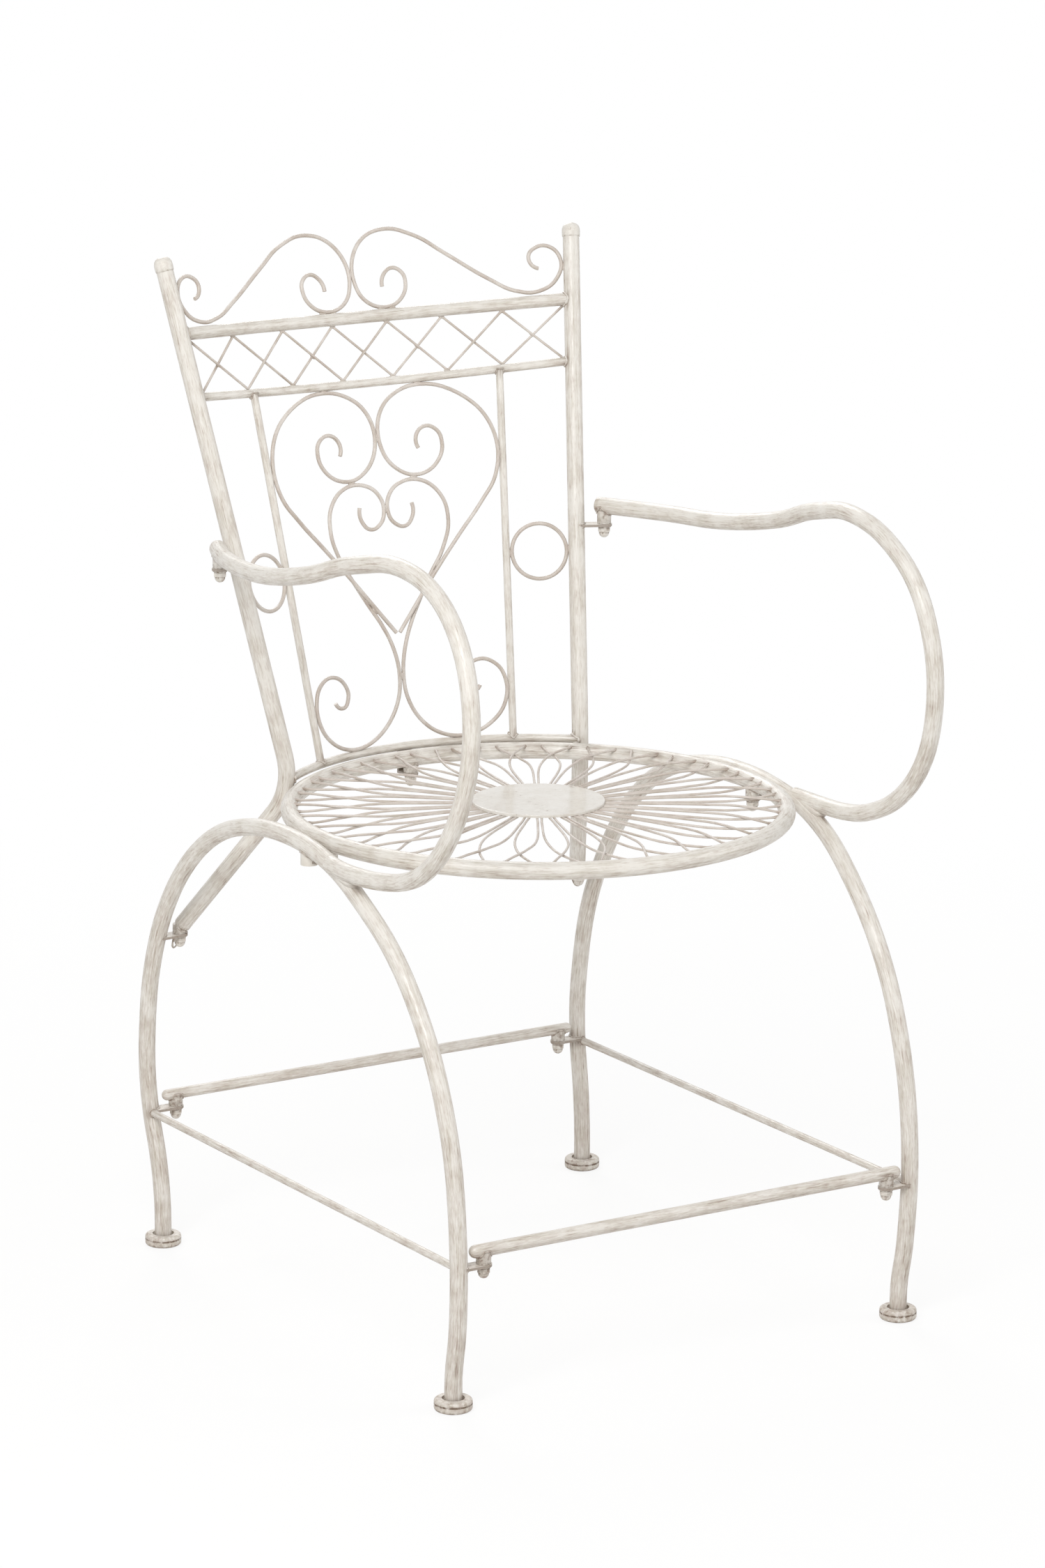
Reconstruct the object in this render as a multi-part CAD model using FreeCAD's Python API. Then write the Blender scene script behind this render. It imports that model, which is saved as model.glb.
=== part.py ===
import FreeCAD, Part
import math
import os
from FreeCAD import Vector

# Garden armchair of bent steel tube and wire, bolted together from two side frames,
# a leaning back panel and a round seat. Sizes in mm, floor at z 0, front toward -Y,
# left side of the chair toward +X. Right-hand pieces are mirror images.

# Stock
tube_diameter = 16.0
tube_wall = 1.5
tube_radius = tube_diameter / 2
cap_height = 5.0
scroll_wire = 3.8
lattice_wire = 2.4
seat_wire = 2.3
top_rail_diameter = 12.0
second_rail_diameter = 8.2
bottom_rail_diameter = 8.0
inner_bar_diameter = 7.2
side_rod_diameter = 7.0
front_stretcher_diameter = 12.0
rear_stretcher_diameter = 10.5
weld_bite = 0.1

# The frame origin lies under the middle of the whole chair
middle_y = 34.2

# Round seat
seat_radius = 228.0
seat_height = 461.0
seat_wire_rise = 5.0
seat_plate_radius = 61.3
seat_plate_thickness = 2.5
seat_plate_rounding = 0.8
petal_count = 32
petal_turn = -2.8
petal_lift = 1.25
petal_lift_from = 150.0
petal_lift_run = 25.0
petal_settle_run = 20.0
petal_rim_inset = 4.5
petal_crossing_inset = 22.0
petal_half_widths = (
    (70.7, 5.2),
    (88.0, 6.6),
    (110.6, 8.6),
    (133.4, 9.7),
    (156.2, 8.6),
    (174.0, 5.2),
    (190.8, 0.0),
    (206.0, -6.8),
)
petal_end_width = -14.0
petal_hairpin_radius = 3.4
petal_hairpin_inset = 8.3

# Side tube, an arch from the rear foot past the seat and down to the front foot. Points of
# the side frames are x outward from the seat's edge, y back from its middle and z above it
rear_foot_out = 9.0
rear_foot_y = 290.0
front_foot_out = 11.6
front_foot_y = -247.8
foot_straight = 20.0
foot_floor = 4.0
side_tube_points = (
    (15.0, 308.0, -267.0),
    (17.0, 293.0, -188.0),
    (18.8, 262.0, -123.0),
    (18.0, 218.0, -68.0),
    (17.0, 161.5, -28.0),
    (17.2, 97.5, -7.5),
    (18.0, 34.0, -1.0),
    (18.7, -25.0, -5.2),
    (20.3, -67.0, -15.0),
    (20.5, -104.0, -32.0),
    (17.6, -150.0, -64.2),
    (15.6, -204.5, -126.0),
    (14.0, -244.0, -214.0),
    (13.5, -258.4, -311.0),
    (12.2, -256.0, -381.0),
)

# Arm tube, from where it is let into the side tube, up the front and over the arm
arm_points = (
    (21.8, -52.0, -8.4),
    (23.4, -72.0, -9.0),
    (23.4, -98.0, -8.6),
    (20.9, -132.0, -6.2),
    (18.0, -172.0, 1.6),
    (19.6, -216.0, 22.5),
    (19.6, -254.0, 62.0),
    (16.3, -276.0, 118.0),
    (13.0, -274.0, 181.0),
    (10.6, -250.0, 231.0),
    (8.6, -207.0, 263.6),
    (10.4, -151.0, 276.6),
    (17.6, -84.6, 267.4),
    (23.8, -10.0, 245.6),
    (20.0, 70.0, 231.0),
    (6.0, 157.0, 226.0),
    (-18.4, 223.0, 224.2),
)

# Back posts: a leaning line, a bend beside the seat and a lower leg going back and out
post_angle = 48.1
post_clearance = 8.8
post_spread = 0.1337
post_lean = 0.262
post_bend_rise = 0.5
post_bend_radius = 60.0
post_end_point = (-8.4, 276.0, -142.4)

# Back panel, bowed backward between the posts
panel_bow = 36.0
panel_bow_gain = 0.0003
panel_bow_rise = 279.0
top_rail_rise = 415.0
top_rail_tilt = 9.5
second_rail_drop = 57.0
post_top_rise = 65.5
bottom_rail_rise = 9.5
bottom_rail_clearance = 11.0
inner_bar_top_share = 0.6526
inner_bar_foot_share = 0.6657
inner_bar_set = 2.5
inner_bar_sink = 1.5
lattice_bays = 7
lattice_top_inset = 8.8
lattice_bottom_inset = 10.3
lattice_bend = 3.0
post_bend_z = seat_height + post_bend_rise
panel_bow_middle = seat_height + panel_bow_rise
top_rail_z = seat_height + top_rail_rise
second_rail_z = top_rail_z - second_rail_drop
bottom_rail_z = seat_height + bottom_rail_rise
bottom_rail_radius = seat_radius + bottom_rail_clearance

# Scrolls as points on the flat panel: x outward from the middle, z up, and where a wire
# crosses another, how far it stands behind the panel. The crest's heights are above the top
# rail, and heart and lyre are stretched to fit between the rails and the inner bars
crest_post_inset = 4.66
heart_bar_inset = 11.5
heart_top_drop = 6.1
lyre_foot_rise = 17.7
crest_points = (
    (31.5, 30.0),
    (35.5, 41.5),
    (45.0, 46.5),
    (54.5, 41.0),
    (56.0, 29.0),
    (46.0, 15.1),
    (29.0, 10.9),
    (11.5, 18.0),
    (2.0, 40.0),
    (6.5, 61.0),
    (23.0, 78.0),
    (46.0, 83.0),
    (73.5, 74.5),
    (102.0, 54.5),
    (138.0, 28.0),
    (162.0, 13.5),
    (181.0, 10.0),
    (201.5, 19.0),
    (208.9, 35.5),
    (202.5, 49.0),
    (190.5, 52.0),
    (180.0, 42.5),
    (187.5, 31.5),
)
heart_points = (
    (43.0, 755.0),
    (43.0, 768.0),
    (52.5, 774.5),
    (64.5, 769.5),
    (68.0, 755.0),
    (58.0, 738.0),
    (37.0, 731.0),
    (14.0, 741.0),
    (1.9, 768.0),
    (10.0, 795.0),
    (32.0, 810.0),
    (60.0, 812.9),
    (92.0, 801.0),
    (114.5, 779.0),
    (122.9, 750.0),
    (116.5, 721.0),
    (99.0, 698.5),
    (74.0, 672.0),
    (45.0, 640.0),
    (20.0, 610.6),
    (2.0, 589.4),
)
lyre_points = (
    (28.5, 706.0),
    (28.0, 694.0),
    (19.0, 685.5),
    (7.0, 690.0),
    (1.9, 703.0),
    (8.5, 719.0),
    (26.0, 727.0),
    (46.0, 723.5),
    (61.5, 707.0),
    (64.5, 685.5),
    (56.5, 661.0, 1.6),
    (41.5, 638.0, 3.7),
    (26.0, 613.5, 3.2),
    (17.5, 600.0, 1.8),
    (8.0, 580.0, 0.4),
    (2.4, 556.0),
    (4.8, 530.0),
    (16.5, 509.0),
    (34.5, 494.5),
    (58.0, 488.2),
    (84.0, 494.5),
    (100.5, 511.0),
    (104.5, 531.0),
    (97.5, 548.5),
    (82.0, 556.0),
    (67.5, 549.5),
    (63.0, 537.0),
    (70.0, 527.0),
    (79.5, 532.0),
)
side_ring_z = 644.0

# Stretchers and side rods
rear_stretcher_y = 302.6
rear_stretcher_z = 143.0
front_stretcher_y = -258.3
front_stretcher_z = 146.0
stretcher_out = 2.0
side_rod_ends = (
    (13.6, 303.0, 128.5),
    (13.0, -258.0, 132.5),
)

# Bolted joints: boss, tab, washer and acorn nut on a stud
stud_diameter = 6.0
tab_hole_clearance = 0.4
boss_diameter = 13.5
tab_thickness = 2.4
tab_width = 15.0
washer_diameter = 13.6
washer_thickness = 1.2
nut_across_flats = 11.0
nut_hex_height = 4.8
nut_dome_diameter = 10.0
nut_height = 10.2
nut_neck_lap = 0.5
stretcher_bolt_inset = 14.5
stretcher_tab_gap = 6.0
stretcher_tab_lap = 3.0
stud_grip = 4.0
arm_boss_reach = 12.5
arm_bolt_ahead = 4.0
arm_bolt_out = 0.5
arm_bolt_drop = 16.7
post_foot_boss_reach = 9.0
post_foot_bolt_out = 3.2
post_foot_bolt_back = 2.4
post_foot_bolt_drop = 10.2
post_foot_tab_reach = 23.0
post_foot_tab_skew = 1.6
seat_boss_drop = 4.3
seat_bolt_y = -14.0
seat_bolt_drop = 15.0
seat_block_diameter = 15.5
seat_block_out = 17.5
seat_block_y = -6.0
seat_block_top_drop = 8.0
seat_block_foot_drop = 19.5
back_bolt_drop = 13.5
back_bracket_width = 15.0

# Feet
pad_diameter = 34.4
pad_height = 11.0
pad_rounding = 3.0
pad_recess_diameter = 20.5
pad_recess_depth = 3.0
pad_seam = 0.8
pad_seam_share = 0.6

up = Vector(0, 0, 1)
left_side = Vector(1, 0, 0)
origin = Vector(0, 0, 0)
lean_angle = math.atan(post_lean)


def unit(vector):
    return vector * (1.0 / vector.Length)


def beside_seat(x, y, z):
    return Vector(seat_radius + x, y, z)


def points_of(rows):
    return [beside_seat(x, y, seat_height + z) for x, y, z in rows]


rear_foot = beside_seat(rear_foot_out, rear_foot_y, 0)
front_foot = beside_seat(front_foot_out, front_foot_y, 0)
post_end = points_of([post_end_point])[0]
seat_bolt = Vector(seat_radius, seat_bolt_y, seat_height - seat_bolt_drop)
back_bolt = Vector(0, seat_radius, seat_height - back_bolt_drop)


# Smooth paths from straight runs and tangent arcs

def arc_between(start, corner, end):
    middle = (start + end) * 0.5
    rise = corner - middle
    half = (end - start).Length / 2
    reach = (corner - start).Length
    bow = half * math.tan(0.5 * math.acos(min(1.0, half / reach)))
    if bow < 0.001:
        return Part.LineSegment(start, end).toShape()
    return Part.Arc(start, middle + rise * (bow / rise.Length), end).toShape()


def two_arcs(start, start_way, end, end_way):
    # Two tangent arcs that leave and arrive in the given directions
    span = end - start
    ways = start_way + end_way
    bend = 2 * (1 - start_way.dot(end_way))
    along = span.dot(ways)
    if bend < 1e-9:
        reach = span.dot(span) / (2 * along)
    else:
        reach = (math.sqrt(along ** 2 + bend * span.dot(span)) - along) / bend
    first_corner = start + start_way * reach
    last_corner = end - end_way * reach
    joint = (first_corner + last_corner) * 0.5
    return [arc_between(start, first_corner, joint), arc_between(joint, last_corner, end)]


def ways_along(points, first_way=None, last_way=None):
    # At each point, the direction of the circle through it and its neighbours
    ways = [None] * len(points)
    for i in range(1, len(points) - 1):
        before = points[i] - points[i - 1]
        after = points[i + 1] - points[i]
        ways[i] = unit(before * (1 / before.dot(before)) + after * (1 / after.dot(after)))
    ways[0] = first_way or turned_over(ways[1], points[1] - points[0])
    ways[-1] = last_way or turned_over(ways[-2], points[-1] - points[-2])
    return ways


def turned_over(way, chord):
    return unit(chord * (2 * chord.dot(way) / chord.dot(chord)) - way)


def smooth_edges(points, ways):
    edges = []
    for i in range(len(points) - 1):
        edges += two_arcs(points[i], ways[i], points[i + 1], ways[i + 1])
    return edges


def line(start, end):
    return Part.LineSegment(start, end).toShape()


def rounded_edges(points, radius):
    # Straight runs with a tangent arc at each corner
    edges = []
    start = points[0]
    for before, corner, after in zip(points, points[1:], points[2:]):
        back = unit(before - corner)
        forth = unit(after - corner)
        half_turn = 0.5 * math.acos(max(-1.0, min(1.0, back.dot(forth))))
        cut = radius / math.tan(half_turn)
        edges.append(line(start, corner + back * cut))
        edges.append(arc_between(corner + back * cut, corner, corner + forth * cut))
        start = corner + forth * cut
    edges.append(line(start, points[-1]))
    return edges


def rod_along(edges, diameter):
    path = Part.Wire(edges)
    first = edges[0]
    start = first.valueAt(first.FirstParameter)
    way = first.tangentAt(first.FirstParameter)
    ring = Part.Wire(Part.Circle(start, way, diameter / 2).toShape())
    return path.makePipeShell([ring], True, False)


def tube_along(edges):
    bore = rod_along(edges, tube_diameter - 2 * tube_wall)
    return rod_along(edges, tube_diameter).cut(bore)


def end_of(edges):
    last = edges[-1]
    return last.valueAt(last.LastParameter), last.tangentAt(last.LastParameter)


def dome(base, way):
    # Rounded cap that closes a tube end
    ball_radius = (tube_radius ** 2 + cap_height ** 2) / (2 * cap_height)
    tip = Vector(0, 0, cap_height)
    edge = Vector(tube_radius, 0, 0)
    half_angle = math.asin(tube_radius / ball_radius) / 2
    shoulder = Vector(ball_radius * math.sin(half_angle), 0,
                      ball_radius * math.cos(half_angle) - ball_radius + cap_height)
    outline = Part.Wire([line(origin, edge), Part.Arc(edge, shoulder, tip).toShape(),
                         line(tip, origin)])
    cap = Part.Face(outline).revolve(origin, up, 360)
    cap.Placement = FreeCAD.Placement(base, FreeCAD.Rotation(up, way))
    return cap


def cylinder(radius, bottom, top, x, y):
    return Part.makeCylinder(radius, top - bottom, Vector(x, y, bottom), up)


def mirrored(shape):
    return shape.mirror(origin, left_side)


# Side frames

def side_tube_edges():
    rear_knee = rear_foot + up * foot_straight
    front_knee = front_foot + up * foot_straight
    points = [rear_knee] + points_of(side_tube_points) + [front_knee]
    bends = smooth_edges(points, ways_along(points, first_way=up, last_way=up * -1))
    rear_end = line(rear_foot + up * foot_floor, rear_knee)
    front_end = line(front_knee, front_foot + up * foot_floor)
    return [rear_end] + bends + [front_end]


def arm_edges():
    points = points_of(arm_points)
    return smooth_edges(points, ways_along(points))


def side_rod(side_tube):
    ends = [beside_seat(*row) for row in side_rod_ends]
    return rod_along([line(*ends)], side_rod_diameter).cut(side_tube)


# Back panel geometry

def post_x(z):
    at_seat = (seat_radius + post_clearance) * math.cos(math.radians(post_angle))
    return at_seat + post_spread * (z - post_bend_z)


def post_y(z):
    at_seat = (seat_radius + post_clearance) * math.sin(math.radians(post_angle))
    return at_seat + post_lean * (z - post_bend_z)


def post_point(z):
    return Vector(post_x(z), post_y(z), z)


def bow_depth(x, z, bow):
    width = post_x(z)
    arc_radius = (width ** 2 + bow ** 2) / (2 * bow)
    return math.sqrt(arc_radius ** 2 - x ** 2) - (arc_radius - bow)


def panel_bow_at(z):
    return panel_bow + panel_bow_gain * (z - panel_bow_middle) ** 2


def on_panel(x, z, lift=0.0):
    # A point of the flat panel laid on the bowed, leaning surface
    depth = bow_depth(x, z, panel_bow_at(z)) + lift
    return Vector(x, post_y(z) + depth * math.cos(lean_angle), z - depth * math.sin(lean_angle))


def between_rails(z):
    # Height of a heart or lyre point, stretched from the bottom rail up to the second rail
    lowest = min(row[1] for row in lyre_points)
    highest = max(row[1] for row in heart_points)
    foot = bottom_rail_z + lyre_foot_rise
    top = second_rail_z - heart_top_drop
    return foot + (z - lowest) * (top - foot) / (highest - lowest)


def inner_scroll(rows):
    # Half of the heart or of the lyre, as wide as the inner bars allow
    widest = max(row[0] for row in heart_points)
    stretch = (inner_bar_ends()[1].x - heart_bar_inset) / widest
    return scroll([(row[0] * stretch, between_rails(row[1]), *row[2:]) for row in rows])


def crest_scroll():
    widest = max(row[0] for row in crest_points)
    stretch = (post_x(top_rail_z) - crest_post_inset) / widest
    return scroll([(x * stretch, top_rail_z + z) for x, z in crest_points])


def scroll(rows):
    points = [on_panel(*row) for row in rows]
    return rod_along(smooth_edges(points, ways_along(points)), scroll_wire)


def post_edges():
    top = post_point(top_rail_z + post_top_rise)
    return rounded_edges([top, post_point(post_bend_z), post_end], post_bend_radius)


def rail_point(x, z, tilt):
    depth = bow_depth(x, z, panel_bow_at(z))
    return Vector(x, post_y(z) + depth * math.cos(tilt), z - depth * math.sin(tilt))


def rail(z, tilt, diameter):
    width = post_x(z)
    stops = [rail_point(x, z, tilt) for x in (width, 0, -width)]
    return rod_along([Part.Arc(*stops).toShape()], diameter)


def bottom_rail():
    z = bottom_rail_z
    half_angle = math.atan2(post_y(z), post_x(z))
    ends = [Vector(s * bottom_rail_radius * math.cos(half_angle),
                   bottom_rail_radius * math.sin(half_angle), z) for s in (1, -1)]
    arc = Part.Arc(ends[0], Vector(0, bottom_rail_radius, z), ends[1]).toShape()
    return rod_along([arc], bottom_rail_diameter)


def lattice_zigzag(first_row, lift):
    # One wire bent to and fro between the two upper rails, its bends welded to them
    tilt = math.radians(top_rail_tilt)
    rows = ((top_rail_z, tilt, lattice_top_inset, -top_rail_diameter / 2),
            (second_rail_z, lean_angle, lattice_bottom_inset, second_rail_diameter / 2))
    panel_up = Vector(0, math.sin(lean_angle), math.cos(lean_angle))
    panel_back = Vector(0, math.cos(lean_angle), -math.sin(lean_angle))
    corners = []
    for i in range(lattice_bays + 1):
        z, row_tilt, inset, edge = rows[(first_row + i) % 2]
        x = (2 * i / lattice_bays - 1) * (post_x(z) - inset)
        on_rail = rail_point(x, z, row_tilt)
        corners.append(on_rail + panel_up * edge + panel_back * lift)
    return rod_along(rounded_edges(corners, lattice_bend), lattice_wire)


def inner_bar_ends():
    # Foot on the bottom rail, top a little in front of the second rail's middle
    foot_x = inner_bar_foot_share * post_x(bottom_rail_z)
    foot_y = math.sqrt(bottom_rail_radius ** 2 - foot_x ** 2)
    foot = Vector(foot_x, foot_y, bottom_rail_z + inner_bar_sink)
    top_x = inner_bar_top_share * post_x(second_rail_z)
    return foot, rail_point(top_x, second_rail_z, lean_angle) - Vector(0, inner_bar_set, 0)


def side_ring():
    # Round ring that fills the gap between the inner bar and the post
    z = between_rails(side_ring_z)
    foot, top = inner_bar_ends()
    share = (z - foot.z) / (top.z - foot.z)
    on_bar = foot + (top - foot) * share
    across = post_point(z) - on_bar
    gap = across.Length - inner_bar_diameter / 2 - tube_radius
    centre = on_bar + unit(across) * (inner_bar_diameter / 2 + gap / 2)
    facing = across.cross(Vector(0, post_lean, 1))
    return Part.makeTorus(gap / 2 - scroll_wire / 2 + weld_bite, scroll_wire / 2, centre, facing)


# Seat

def seat_rim():
    outer = Part.makeTorus(seat_radius, tube_radius)
    bore = Part.makeTorus(seat_radius, tube_radius - tube_wall)
    return outer.cut(bore).translated(Vector(0, 0, seat_height))


def petal():
    # One bent wire: out, round under the plate and back, the two legs crossing near the rim
    reach = seat_radius - petal_rim_inset
    stretch = (seat_radius - petal_crossing_inset) / petal_half_widths[-1][0]
    leg = [Vector(petal_end_width, -reach, 0)]
    for row_radius, width in reversed(petal_half_widths):
        radius = row_radius * stretch
        lift = petal_lift * min(1.0, (reach - radius) / petal_settle_run)
        lift *= max(0.0, min(1.0, (radius - petal_lift_from) / petal_lift_run))
        leg.append(Vector(width, -radius, lift))
    hairpin_y = petal_hairpin_inset - seat_plate_radius
    leg.append(Vector(petal_hairpin_radius, hairpin_y, 0))
    other_leg = [Vector(-p.x, p.y, -p.z) for p in reversed(leg)]
    height = up * (seat_height + seat_wire_rise)
    leg = [p + height for p in leg]
    other_leg = [p + height for p in other_leg]
    tip = Vector(0, hairpin_y + petal_hairpin_radius, 0) + height
    inward = Vector(0, 1, 0)
    edges = smooth_edges(leg, ways_along(leg, last_way=inward))
    edges.append(Part.Arc(leg[-1], tip, other_leg[0]).toShape())
    edges += smooth_edges(other_leg, ways_along(other_leg, first_way=inward * -1))
    wire = rod_along(edges, seat_wire)
    rim = Part.makeTorus(seat_radius, tube_radius, Vector(0, 0, seat_height))
    return wire.cut(rim)


def seat_wires():
    one = petal()
    wires = []
    for i in range(petal_count):
        angle = petal_turn + i * 360.0 / petal_count
        wires.append(one.rotated(origin, up, angle))
    return wires


def seat_plate():
    bottom = seat_height + seat_wire_rise + seat_wire / 2 - weld_bite
    plate = cylinder(seat_plate_radius, bottom, bottom + seat_plate_thickness, 0, 0)
    rim_edges = [e for e in plate.Edges if e.Curve.TypeId == "Part::GeomCircle"]
    upper = [e for e in rim_edges if e.CenterOfMass.z > bottom + seat_plate_thickness / 2]
    return plate.makeFillet(seat_plate_rounding, upper)


# Bolted joints, each hanging from the underside of what it holds

def boss(bolt, ceiling, held):
    # Threaded spacer welded under a tube, its stud hole open to the tab
    body = cylinder(boss_diameter / 2, bolt.z, ceiling, bolt.x, bolt.y).cut(held)
    return body.cut(stud(bolt))


def stud(bolt):
    bottom = bolt.z - tab_thickness - washer_thickness - nut_hex_height
    return cylinder(stud_diameter / 2, bottom, bolt.z + stud_grip, bolt.x, bolt.y)


def washer(bolt):
    top = bolt.z - tab_thickness
    ring = cylinder(washer_diameter / 2, top - washer_thickness, top, bolt.x, bolt.y)
    return ring.cut(stud(bolt))


def acorn_nut(bolt):
    top = bolt.z - tab_thickness - washer_thickness
    corner_radius = nut_across_flats / math.sqrt(3)
    corners = []
    for i in range(7):
        turn = math.radians(60 * i)
        corners.append(Vector(bolt.x + corner_radius * math.cos(turn),
                              bolt.y + corner_radius * math.sin(turn), top))
    body = Part.Face(Part.makePolygon(corners)).extrude(up * -nut_hex_height)
    dome_radius = nut_dome_diameter / 2
    dome_centre = Vector(bolt.x, bolt.y, top - nut_height + dome_radius)
    neck_top = top - nut_hex_height + nut_neck_lap
    neck = cylinder(dome_radius, dome_centre.z, neck_top, bolt.x, bolt.y)
    body = body.fuse(neck).fuse(Part.makeSphere(dome_radius, dome_centre))
    return body.cut(stud(bolt))


def tab(bolt, far_x, far_y, width=tab_width):
    # Flat plate, round about the bolt and square where it runs into the tube it is welded to
    bottom = bolt.z - tab_thickness
    way = unit(Vector(far_x - bolt.x, far_y - bolt.y, 0))
    side = way.cross(up) * (width / 2)
    here = Vector(bolt.x, bolt.y, bottom)
    there = Vector(far_x, far_y, bottom)
    outline = Part.Wire([line(here + side, there + side),
                         line(there + side, there - side),
                         line(there - side, here - side),
                         Part.Arc(here - side, here - way * (width / 2), here + side).toShape()])
    plate = Part.Face(outline).extrude(up * tab_thickness)
    hole = stud_diameter / 2 + tab_hole_clearance / 2
    return plate.cut(cylinder(hole, bottom, bolt.z, bolt.x, bolt.y))


def stretcher(end, diameter):
    # Round bar from side to side with ball ends, the left one reaching to the given point
    radius = diameter / 2
    half = end.x - radius
    bar = Part.makeCylinder(radius, 2 * half, Vector(-half, end.y, end.z), left_side)
    for x in (-half, half):
        bar = bar.fuse(Part.makeSphere(radius, Vector(x, end.y, end.z)))
    return bar


def foot_pad(x, y):
    radius = pad_diameter / 2
    profile = [(0, 0), (radius - pad_rounding, 0), (radius, pad_rounding),
               (radius, pad_height - pad_rounding), (radius - pad_rounding, pad_height),
               (pad_recess_diameter / 2, pad_height),
               (pad_recess_diameter / 2, pad_height - pad_recess_depth),
               (tube_radius, pad_height - pad_recess_depth), (tube_radius, foot_floor),
               (0, foot_floor)]
    rows = [Vector(r, 0, z) for r, z in profile]
    low_corner = Vector(radius - pad_rounding * (1 - math.sqrt(0.5)), 0,
                        pad_rounding * (1 - math.sqrt(0.5)))
    high_corner = Vector(low_corner.x, 0, pad_height - low_corner.z)
    edges = [line(rows[0], rows[1]),
             Part.Arc(rows[1], low_corner, rows[2]).toShape(),
             line(rows[2], rows[3]),
             Part.Arc(rows[3], high_corner, rows[4]).toShape()]
    for start, end in zip(rows[4:], rows[5:] + rows[:1]):
        edges.append(line(start, end))
    pad = Part.Face(Part.Wire(edges)).revolve(origin, up, 360)
    seam = Part.makeTorus(radius, pad_seam / 2, Vector(0, 0, pad_height * pad_seam_share))
    return pad.cut(seam).translated(Vector(x, y, 0))


def back_bracket():
    # Strip welded behind the bottom rail, bent forward under the seat rim
    back_y = bottom_rail_radius + tab_thickness / 2
    bottom = back_bolt.z - tab_thickness
    foot = tab(back_bolt, 0, back_y, back_bracket_width)
    strip = Part.makeBox(back_bracket_width, tab_thickness, bottom_rail_z - bottom,
                         Vector(-back_bracket_width / 2, back_y - tab_thickness, bottom))
    return foot.fuse(strip).removeSplitter()


def both(shapes):
    return [shape for pair in ((s, mirrored(s)) for s in shapes) for shape in pair]


def export(name, shapes):
    if not isinstance(shapes, list):
        shapes = [shapes]
    solids = [solid for shape in shapes for solid in shape.Solids]
    whole = solids[0] if len(solids) == 1 else Part.makeCompound(solids)
    whole = whole.translated(Vector(0, -middle_y, 0))
    whole.exportStep("parts/" + name + ".step")


def export_pair(name, shape):
    export(name + "_left", shape)
    export(name + "_right", mirrored(shape))


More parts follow.
